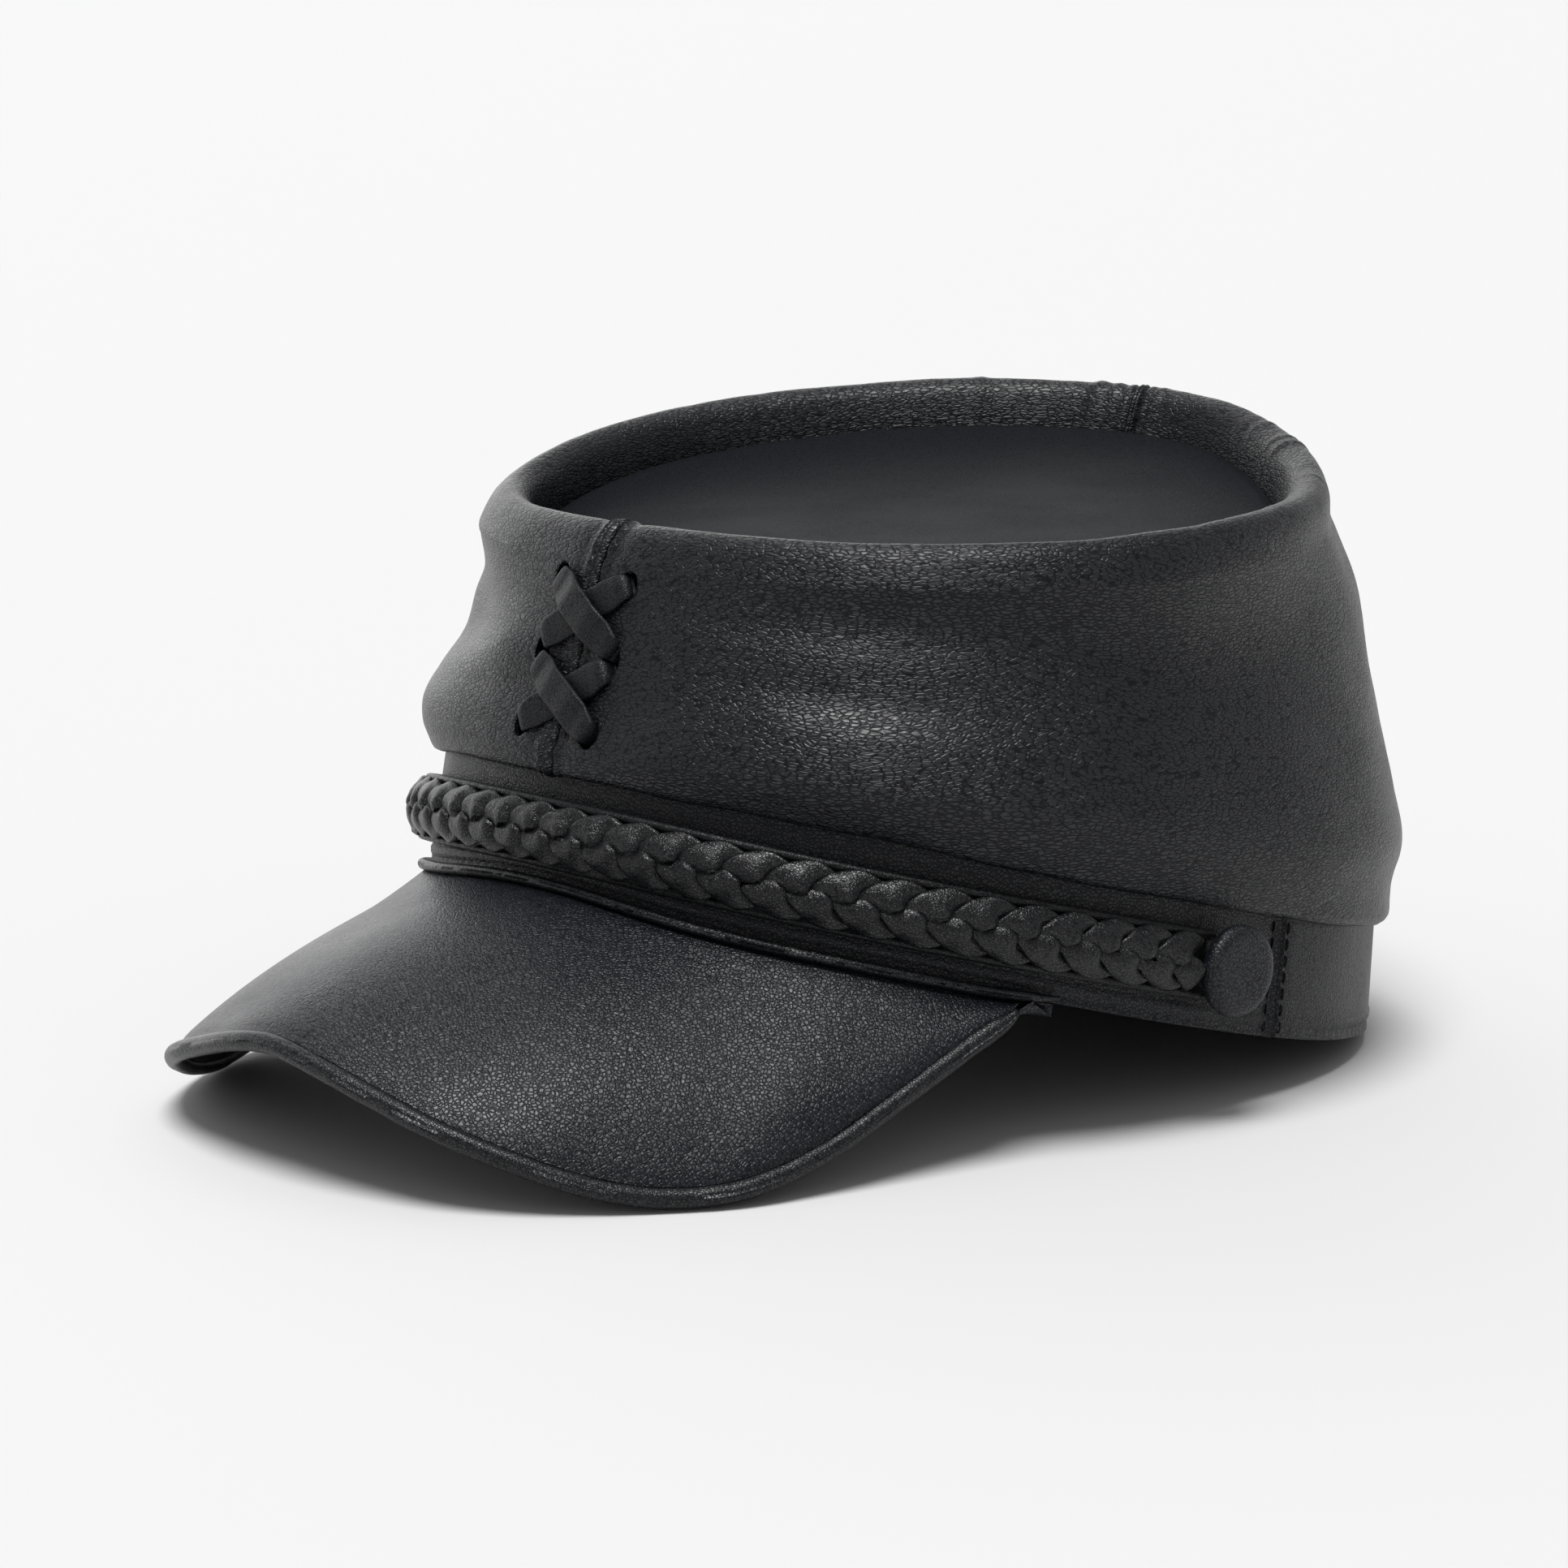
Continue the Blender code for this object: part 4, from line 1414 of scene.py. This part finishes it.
@dataclass
class Peak:
    """The curved peak, its bound edge and the corded welt along the band."""

    band: Band
    root_angle: float = 21.5
    half_span: float = 86.2 * MM
    reach: float = 117.4 * MM
    drop: float = 47.4 * MM
    bulge: float = 2.7 * MM
    fullest: float = 0.6
    wall: float = 2.4 * MM
    binding_radius: float = 1.9 * MM
    binding_share: float = 0.96
    welt_radius: float = 1.1 * MM
    columns: int = 170
    rows: int = 56
    edge_rounding: float = 0.6 * MM
    swell: float = 0.30 * MM

    # Outer edge, from its middle to its root, as shares of span, reach and drop:
    # across, forward, down
    edge_table = (
        (0.000, 1.000, 0.735),
        (0.141, 0.994, 0.765),
        (0.304, 0.966, 0.829),
        (0.462, 0.926, 0.896),
        (0.606, 0.852, 0.955),
        (0.728, 0.749, 0.998),
        (0.820, 0.647, 0.983),
        (0.895, 0.545, 0.896),
        (0.934, 0.420, 0.710),
        (0.957, 0.283, 0.440),
        (0.972, 0.142, 0.170),
        (0.979, 0.050, 0.052),
    )

    def root(self, share: float) -> Vector:
        """The sewn edge under the band, from the front to its root.

        Args:
            share: The share of the way from the front's middle to the root.

        Returns:
            The point.
        """
        angle = 90 - share * (90 - self.root_angle)
        point = self.band.outline(angle) - self.wall / 4 * self.band.outward(angle)
        point.z = self.band.low_edge(angle) - self.band.gap - self.wall / 2
        return point

    def edge(self, share: float) -> Vector:
        """The outer edge, from its middle to its root.

        Args:
            share: The share of the way from the front's middle to the root.

        Returns:
            The point.
        """
        rows = self.edge_table
        mirrored = [(-rows[1][0], *rows[1][1:]), *rows]
        stops = [float(index - 1) for index in range(len(mirrored))]
        at = share * (len(rows) - 1)
        across, forward, down = (
            curve_at(stops, [row[axis] for row in mirrored], at) for axis in range(3)
        )
        front = self.band.outline(self.root_angle).y
        return Vector((across * self.half_span, front - forward * self.reach, -down * self.drop))

    def point(self, share: float, out: float) -> Vector:
        """A point of the middle surface, a share of the way out from the band.

        Args:
            share: The share of the way from the front's middle to the root.
            out: The share of the way out from the band to the edge.

        Returns:
            The point.
        """
        root, edge = self.root(share), self.edge(share)
        side = (self.edge(min(1, share + 0.01)) - self.edge(max(0, share - 0.01))).normalized()
        up = (edge - root).cross(side).normalized()
        fullness = (out / self.fullest) ** 1.5 * (1 - out) / (1 - self.fullest)
        return root.lerp(edge, out) + up * self.bulge * fullness * (1 - share**3)

    def run_out(self, along: float, length: float) -> float:
        """How full a cord is where it runs out towards both of its ends."""
        near = min(1.0, min(along, 1 - along) / length)
        return 0.35 + 0.65 * math.sin(math.pi / 2 * near)

    def board(self, bench: Bench) -> None:
        """The covered board, which thins and turns down a little along its edge.

        Args:
            bench: Where the pieces are made.
        """
        columns, rows = self.columns, self.rows
        lines: dict[int, list[Vector]] = {}

        def place(along: float, across: float) -> Vector:
            """Lays one half of the peak and mirrors the other from it.

            Args:
                along: The share of the way along it.
                across: The share of the way across it.

            Returns:
                The point.
            """
            side = 2 * along - 1
            key = round(abs(side) * columns)
            if key not in lines:
                lines[key] = [self.point(abs(side), index / rows) for index in range(rows + 1)]
            point = lines[key][round(across * rows)].copy()
            point.x *= math.copysign(1, side) if side else 0
            return point

        def relief(along: float, across: float) -> float:
            """Swells the leather softly and thickens it along its edge.

            Args:
                along: The share of the way along it.
                across: The share of the way across it.

            Returns:
                The relief there, in metres.
            """
            point = place(along, across)
            soft = ripple(point, 34 * MM, 6.0) * math.sin(math.pi * across)
            return self.swell * (soft + bell(across - 0.99, 0.02))

        form = sheet_form(columns, rows, place, relief)
        obj = bench.piece("peak_skin", form, Finish.PEAK, ("peak",), self.wall)
        round_edges(obj, self.edge_rounding)

    def binding(self, bench: Bench) -> None:
        """The strip turned over the edge, a little flattened, with small pulls in it.

        Args:
            bench: Where the pieces are made.
        """

        def path(share: float) -> Vector:
            """Runs along the peak's edge, from root to root.

            Args:
                share: The share of the way along it.

            Returns:
                The point.
            """
            half = abs(2 * share - 1) * self.binding_share
            side = math.copysign(1, 2 * share - 1)
            edge = self.edge(half)
            along = self.edge(min(1, half + 0.01)) - self.edge(max(0, half - 0.01))
            away = edge - self.point(half, 0.92)
            away -= along * (away.dot(along) / along.length_squared)
            point = edge + away.normalized() * (self.band.gap * 0.3 + self.binding_radius * 0.92)
            return Vector((side * point.x, point.y, point.z))

        def place(along: float, across: float) -> Vector:
            """Wraps the strip round its line.

            Args:
                along: The share of the way along it.
                across: The share of the way across it.

            Returns:
                The point.
            """
            turn = 2 * math.pi * across
            point, side, face = frame_on(path, along, Vector((0, 0, 1)))
            flat = 1.0 + 0.05 * noise.noise(Vector((along * 60, across * 4, 2.0)))
            radius = self.binding_radius * flat * self.run_out(along, 0.03)
            return point + radius * (side * math.cos(turn) * 1.02 + face * math.sin(turn) * 1.05)

        form = close_form(sheet_form(320, 20, place))
        bench.piece("binding_skin", form, Finish.BINDING, ("peak_binding",))

    def welt(self, bench: Bench) -> None:
        """The corded welt between the peak and the band.

        Args:
            bench: Where the pieces are made.
        """

        def path(share: float) -> Vector:
            """Runs along the band in the corner above the peak.

            Args:
                share: The share of the way along it.

            Returns:
                The point.
            """
            angle = 180 - self.root_angle - share * (180 - 2 * self.root_angle)
            half = abs(2 * share - 1)
            root, below = self.root(half), self.point(half, 0.06)
            fall = math.atan2(root.z - below.z, (below - root).xy.length)
            out = self.band.gap + self.welt_radius
            point = self.band.outline(angle) + out * self.band.outward(angle)
            clear = self.wall / 2 + self.band.gap / 3 + self.welt_radius
            point.z = root.z + (clear - (out + self.wall / 4) * math.sin(fall)) / math.cos(fall)
            return point

        def place(along: float, across: float) -> Vector:
            """Wraps the leather round the cord.

            Args:
                along: The share of the way along it.
                across: The share of the way across it.

            Returns:
                The point.
            """
            turn = 2 * math.pi * across
            point, side, face = frame_on(path, along, Vector((0, 0, 1)))
            rough = 1 + 0.06 * noise.noise(Vector((along * 90, across * 3, 5.0)))
            radius = self.welt_radius * rough * self.run_out(along, 0.04)
            return point + radius * (side * math.cos(turn) + face * math.sin(turn))

        form = close_form(sheet_form(260, 14, place))
        bench.piece("welt_cord", form, Finish.BINDING, ("peak_welt",))

    def build(self, bench: Bench) -> None:
        """Makes the peak, its binding and its welt.

        Args:
            bench: Where the pieces are made.
        """
        self.board(bench)
        self.binding(bench)
        self.welt(bench)


def steady_number(name: str) -> float:
    """A steady small number for a name, so that twins don't share their roughness."""
    return sum(ord(letter) for letter in name) % 97 / 7.0


@dataclass
class Lacing:
    """Two crosses of flat thong over the front seam, through six punched holes."""

    crown: Crown
    width: float = 7.0 * MM
    wall: float = 1.3 * MM
    spread: float = 10.2 * MM
    top: float = 62.0 * MM
    pitch: float = 15.0 * MM
    share_offset: float = 2.1 * MM
    tail: float = 3.0 * MM
    middle_hole: float = 1.5
    outer_hole: float = 1.3
    steps: int = 72
    sides: int = 20

    def spots(self) -> dict[str, tuple[float, float]]:
        """The six holes by name: how far to the wearer's left, and how high.

        Returns:
            The name of each hole, with its place across and its height.
        """
        return {
            level + side: (sign * self.spread, self.top - row * self.pitch)
            for row, level in enumerate(("top", "middle", "low"))
            for side, sign in (("_right", -1), ("_left", 1))
        }

    def holes(self) -> list[tuple[Vector, Vector, float]]:
        """Each hole as a point on the wall, the way out of it and its height as a share.

        Returns:
            The point, the way out and the height share of each hole.
        """
        found = []
        for name, (across, height) in self.spots().items():
            point, out = self.crown.front_face(across, height)
            tall = self.middle_hole if name.startswith("middle") else self.outer_hole
            found.append((point, out, tall))
        return found

    def thong(self, bench: Bench, name: str, start: str, end: str, over: bool) -> None:
        """One flat length from hole to hole, which narrows and dives in at both ends.

        Args:
            bench: Where the piece is made.
            name: The CAD node that it stands for.
            start: The hole that it comes out of.
            end: The hole that it goes into.
            over: Whether it passes over the length that it crosses.
        """
        spots = self.spots()
        first, last = Vector((*spots[start], 0)), Vector((*spots[end], 0))
        upper = bool({start, end} & {"top_left", "top_right"})
        for point, hole in ((first, start), (last, end)):
            if hole.startswith("middle"):
                point.y += self.share_offset * (1 if upper else -1)
        rest = self.wall * 0.5 + self.crown.band.gap / 2
        hump = self.wall * 1.05 if over else 0.0
        # Share of the way, lift off the wall, share of the width.
        stations = (
            (0.005, -self.crown.wall - self.tail, 0.55),
            (0.005, -self.crown.wall, 0.62),
            (0.02, rest * 0.8, 0.80),
            (0.08, rest * 1.3, 0.97),
            (0.17, rest * 1.1 + 0.2 * hump, 1.0),
            (0.33, rest + hump, 1.0),
            (0.50, rest + hump, 1.0),
        )
        stations += tuple((1 - way, lift, share) for way, lift, share in reversed(stations[:-1]))
        points, widths = [], []
        for index, (way, lift, share) in enumerate(stations):
            flat = first.lerp(last, way)
            point, out = self.crown.front_face(flat.x, flat.y)
            points.append(point + out * lift)
            widths.append((index, share, 0.0))
        count = self.steps
        line = smooth_line(np.array(points), count + 1)
        wide = smooth_line(np.array(widths), count + 1)[:, 1].tolist()
        _, out_middle = self.crown.front_face(*first.lerp(last, 0.5).xy)
        slant = (last - first).normalized()
        across_way = Vector((-slant.y, 0, slant.x))

        def place(along: float, across: float) -> Vector:
            """Wraps a flat section round the thong's line.

            Args:
                along: The share of the way along it.
                across: The share of the way across it.

            Returns:
                The point.
            """
            index = round(along * count)
            point = Vector(line[index])
            before, after = line[max(0, index - 1)], line[min(count, index + 1)]
            ahead = Vector(after - before).normalized()
            side = (across_way - ahead * across_way.dot(ahead)).normalized()
            face = side.cross(ahead).normalized()
            if face.dot(out_middle) < 0:
                face = -face
            turn = 2 * math.pi * across
            half = self.width / 2 * wide[index]
            edge = signed_power(math.cos(turn), 0.35)
            thick = self.wall / 2 * signed_power(math.sin(turn), 0.6)
            curl = 0.25 * MM * edge * edge * (1 - wide[index]) * 3
            rough = 0.06 * MM * noise.noise(Vector((along * 30, edge * 3, steady_number(name))))
            return point + side * (half * edge) + face * (thick - curl + rough)

        form = close_form(sheet_form(count, self.sides, place))
        bench.piece(name.replace("lace", "thong"), form, Finish.LACE, (name,))

    def build(self, bench: Bench) -> None:
        """Makes the four lengths.

        Args:
            bench: Where the pieces are made.
        """
        self.thong(bench, "lace_over_upper", "top_right", "middle_left", True)
        self.thong(bench, "lace_under_upper", "top_left", "middle_right", False)
        self.thong(bench, "lace_over_lower", "middle_right", "low_left", True)
        self.thong(bench, "lace_under_lower", "middle_left", "low_right", False)


@dataclass
class Sewing:
    """Rows of stitches, each a short thread that dips in at both ends."""

    band: Band
    crown: Crown
    strap: Strap
    peak: Peak
    thread: float = 0.28 * MM
    stitch: float = 2.9 * MM
    space: float = 0.7 * MM
    proud: float = 0.12 * MM
    dive: float = 0.5 * MM
    thinning: float = 0.35
    steps: int = 4
    sides: int = 6
    seam_reach: float = 2.25 * MM
    side_shift: float = 1.35
    seam_samples: int = 40

    def row(self, bench: Bench, name: str, path: StitchPath, length: float) -> None:
        """Sews one row along a path.

        Args:
            bench: Where the piece is made.
            name: The piece's name.
            path: Gives the point and the way out of the surface at a share of the row.
            length: The row's length.
        """
        count = max(2, round(length / (self.stitch + self.space)))
        part = self.stitch / (self.stitch + self.space)
        last = self.steps
        whole = bmesh.new()
        for index in range(count):
            spots = [path((index + part * step / last) / count) for step in range(last + 1)]
            grid = bmesh.ops.create_grid(whole, x_segments=last, y_segments=self.sides, size=0.5)
            for vertex in grid["verts"]:
                step = round((vertex.co.x + 0.5) * last)
                turn = 2 * math.pi * (vertex.co.y + 0.5)
                point, out = spots[step]
                ahead = spots[min(last, step + 1)][0] - spots[max(0, step - 1)][0]
                side = ahead.normalized().cross(out).normalized()
                dip = abs(2 * step / last - 1) ** 3
                centre = point + out * (self.proud - dip * self.dive)
                size = self.thread * (1 - self.thinning * dip)
                vertex.co = centre + size * (side * math.cos(turn) + out * math.sin(turn))
        bench.piece(name, close_form(whole), Finish.THREAD)

    def on_band(self, low: float, angle_start: float, angle_end: float) -> StitchPath:
        """A row along the band, at a height above its lower edge.

        Args:
            low: The height above the lower edge.
            angle_start: The angle at which the row starts.
            angle_end: The angle at which it ends.

        Returns:
            The row's path.
        """

        def path(share: float) -> tuple[Vector, Vector]:
            """Runs along the band.

            Args:
                share: The share of the row.

            Returns:
                The point and the way out of the surface.
            """
            angle = angle_start + share * (angle_end - angle_start)
            height = self.band.low_edge(angle) - self.band.seat(angle) + low
            return self.band.point(angle, height, -0.22 * MM), self.band.outward(angle)

        return path

    def side_row(self, angle: float) -> StitchPath:
        """A row up the band beside a side seam.

        Args:
            angle: The angle round the band at which the row runs up.

        Returns:
            The row's path.
        """

        def path(share: float) -> tuple[Vector, Vector]:
            """Runs up the band.

            Args:
                share: The share of the way along it.

            Returns:
                The point and the way out of the surface.
            """
            low = self.band.low_edge(angle) - self.band.seat(angle)
            height = low + 1.0 * MM + share * (self.crown.fold_height - low - 1.0 * MM)
            return self.band.point(angle, height, 0.02 * MM), self.band.outward(angle)

        return path

    def seam_row(self, seam: float, offset: float, low: float, high: float) -> StitchPath:
        """A row beside a crown seam, at an offset across it, between two shares of the section.

        Args:
            seam: The seam's angle.
            offset: How far beside the seam the row runs.
            low: The share of the section at which it starts.
            high: The share of the section at which it ends.

        Returns:
            The row's path.
        """

        def place(level: float) -> tuple[Vector, Vector]:
            """Finds a place beside the seam.

            Args:
                level: The share of the section.

            Returns:
                The point and the way out of the surface.
            """
            shift = math.degrees(offset / self.crown.rim_half_length)
            here = self.crown.section(seam + shift)
            beside = self.crown.section(seam + shift + 0.3)
            index = min(self.crown.rows - 1, max(1, round(level * self.crown.rows)))
            point = Vector(here[index])
            up = Vector(here[index + 1] - here[index - 1])
            along = Vector(beside[index] - here[index])
            out = up.cross(along).normalized()
            return point + out * (self.crown.wall / 2 - 0.30 * MM), out

        last = self.seam_samples
        samples = [place(low + (high - low) * index / last) for index in range(last + 1)]

        def path(share: float) -> tuple[Vector, Vector]:
            """Runs from sample to sample.

            Args:
                share: The share of the way along it.

            Returns:
                The point and the way out of the surface.
            """
            at = max(0.0, min(1.0, share)) * last
            index = min(last - 1, int(at))
            (point, out), (after, out_after) = samples[index : index + 2]
            part = at - index
            return point.lerp(after, part), out.lerp(out_after, part).normalized()

        return path

    def strap_row(self, side: float) -> StitchPath:
        """A row just inside a rolled edge of the strap.

        Args:
            side: 1 for the upper edge of the strap and -1 for the lower one.

        Returns:
            The row's path.
        """

        def path(share: float) -> tuple[Vector, Vector]:
            """Runs along the strap.

            Args:
                share: The share of the way along it.

            Returns:
                The point and the way out of the surface.
            """
            angle = 175.5 - share * 171.0
            height = side * (self.strap.width / 2 - 2.1 * MM)
            out = self.band.gap + self.strap.wall + 0.05 * MM
            return self.strap.point(angle, height, out), self.band.outward(angle)

        return path

    def peak_row(self) -> StitchPath:
        """The row under the peak that holds its binding.

        Returns:
            The row's path.
        """

        def path(share: float) -> tuple[Vector, Vector]:
            """Runs along the underside of the peak.

            Args:
                share: The share of the way along it.

            Returns:
                The point and the way out of the surface.
            """
            side = 2 * share - 1
            half = min(0.95, abs(side) * 0.95)
            point = self.peak.point(half, 0.955)
            inner = self.peak.point(half, 0.93)
            ahead = self.peak.edge(min(1, half + 0.01)) - self.peak.edge(max(0, half - 0.01))
            out = (point - inner).cross(ahead).normalized()
            if out.z > 0:
                out = -out
            point = point + out * (self.peak.wall / 2 - 0.05 * MM)
            sign = math.copysign(1, side)
            return Vector((sign * point.x, point.y, point.z)), Vector((sign * out.x, out.y, out.z))

        return path

    def build(self, bench: Bench) -> None:
        """Sews every row.

        Args:
            bench: Where the pieces are made.
        """
        band, crown = self.band, self.crown
        round_band = math.pi * (band.half_width + band.half_length)
        rear = (180 - 2 * abs(band.seam_angle)) / 360 * round_band
        self.row(bench, "hem_stitches_rear", self.on_band(band.hem, 188, 352), rear)
        self.row(bench, "hem_stitches_left", self.on_band(band.hem, -7.5, 24), 0.09 * round_band)
        self.row(bench, "hem_stitches_right", self.on_band(band.hem, 156, 187.5), 0.09 * round_band)
        for name, angle in (("left", band.seam_angle), ("right", 180 - band.seam_angle)):
            for place, shift in (("front", self.side_shift), ("rear", -self.side_shift)):
                row = self.side_row(angle + shift)
                self.row(bench, f"side_stitches_{name}_{place}", row, crown.fold_height)
        for name, seam in (("front", 90.0), ("rear", crown.seam_angle)):
            for side in (-1, 1):
                row = self.seam_row(seam, side * self.seam_reach, 0.06, 0.93)
                label = "left" if side < 0 else "right"
                self.row(bench, f"crown_stitches_{name}_{label}", row, 118 * MM)
        for name, side in (("upper", 1), ("lower", -1)):
            self.row(bench, f"strap_stitches_{name}", self.strap_row(side), 0.47 * round_band)
        self.row(bench, "peak_stitches_under", self.peak_row(), 290 * MM)


@dataclass
class Studio:
    """The pale floor, the soft light and the camera at the photograph's angle."""

    camera_place: tuple[float, float, float] = (0.713175, -0.649806, 0.238301)
    camera_target: tuple[float, float, float] = (-0.016754, 0.010850, 0.054382)
    focal_pixels: float = 5870.0
    image_pixels: float = 1932.0
    sensor_mm: float = 36.0
    sky_degrees: float = 30.0
    backdrop_degrees: float = 24.0
    backdrop_reach: tuple[float, float] = (-1.0, -0.6)
    backdrop_glow: float = 1.9
    room_glow: float = 0.38
    seen_glow: float = 1.0
    sun_energy: float = 3.3
    sun_turn: tuple[float, float, float] = (10.0, 6.0, 0.0)
    floor_half_width: float = 30.0

    def camera(self) -> None:
        """Puts the camera where the photograph was taken from."""
        data = bpy.data.cameras.new("studio_camera")
        data.sensor_width = self.sensor_mm
        data.lens = self.focal_pixels / self.image_pixels * self.sensor_mm
        data.clip_start = 0.01
        data.clip_end = 100.0
        obj = bpy.data.objects.new("studio_camera", data)
        bpy.context.scene.collection.objects.link(obj)
        obj.location = self.camera_place
        way = Vector(self.camera_target) - Vector(self.camera_place)
        obj.rotation_euler = way.to_track_quat("-Z", "Y").to_euler()
        bpy.context.scene.camera = obj

    def floor(self) -> None:
        """A white paper floor."""
        form = bmesh.new()
        bmesh.ops.create_grid(form, x_segments=1, y_segments=1, size=self.floor_half_width)
        mesh = bpy.data.meshes.new("floor")
        form.to_mesh(mesh)
        form.free()
        obj = bpy.data.objects.new("floor", mesh)
        bpy.context.scene.collection.objects.link(obj)
        # Uncoated background paper: matt, and white where the light falls on it.
        paper = bpy.data.materials.new("white_paper")
        paper.use_nodes = True
        shader = paper.node_tree.nodes["Principled BSDF"]
        shader.inputs["Base Color"].default_value = linear("cfcfcf")
        shader.inputs["Roughness"].default_value = 0.9
        shader.inputs["Specular IOR Level"].default_value = 0.1
        mesh.materials.append(paper)

    def light(self) -> None:
        """A broad soft light from above and a white backdrop in a dim room."""
        sun = bpy.data.lights.new("overhead_softbox", "SUN")
        sun.energy = self.sun_energy
        sun.angle = math.radians(self.sky_degrees)
        obj = bpy.data.objects.new("overhead_softbox", sun)
        bpy.context.scene.collection.objects.link(obj)
        obj.rotation_euler = [math.radians(turn) for turn in self.sun_turn]

        world = bpy.data.worlds.new("white_room")
        world.use_nodes = True
        bpy.context.scene.world = world
        background = world.node_tree.nodes["Background"]
        where = add(world, "ShaderNodeTexCoord", {})
        front = Vector(self.camera_place) - Vector(self.camera_target)
        front.z = 0
        front.rotate(Matrix.Rotation(math.radians(self.backdrop_degrees), 3, "Z"))
        facing = add(
            world,
            "ShaderNodeVectorMath",
            {0: where.outputs["Generated"], 1: front.normalized()},
            operation="DOT_PRODUCT",
        )
        room = add(
            world,
            "ShaderNodeMapRange",
            {
                "Value": facing.outputs["Value"],
                "From Min": self.backdrop_reach[0],
                "From Max": self.backdrop_reach[1],
                "To Min": self.backdrop_glow,
                "To Max": self.room_glow,
            },
            interpolation_type="SMOOTHSTEP",
        )
        seen = add(world, "ShaderNodeLightPath", {})
        strength = add(
            world,
            "ShaderNodeMix",
            {
                "Factor": seen.outputs["Is Camera Ray"],
                "A": room.outputs["Result"],
                "B": self.seen_glow,
            },
            data_type="FLOAT",
        )
        background.inputs["Color"].default_value = (1, 1, 1, 1)
        world.node_tree.links.new(strength.outputs["Result"], background.inputs["Strength"])
        bpy.context.scene.view_settings.view_transform = "Standard"

    def build(self) -> None:
        """Sets up the floor, the light and the camera."""
        self.camera()
        self.floor()
        self.light()


def main() -> None:
    """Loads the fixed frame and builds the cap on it."""
    logging.basicConfig(level=logging.INFO, format="%(name)s: %(message)s")
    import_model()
    Studio().build()
    bench = Bench()
    band = Band()
    crown = Crown(band)
    strap = Strap(band)
    peak = Peak(band)
    lacing = Lacing(crown)
    band.build(bench)
    crown.build(bench, lacing.holes())
    strap.build(bench)
    peak.build(bench)
    lacing.build(bench)
    Sewing(band, crown, strap, peak).build(bench)


if __name__ == "__main__":
    main()
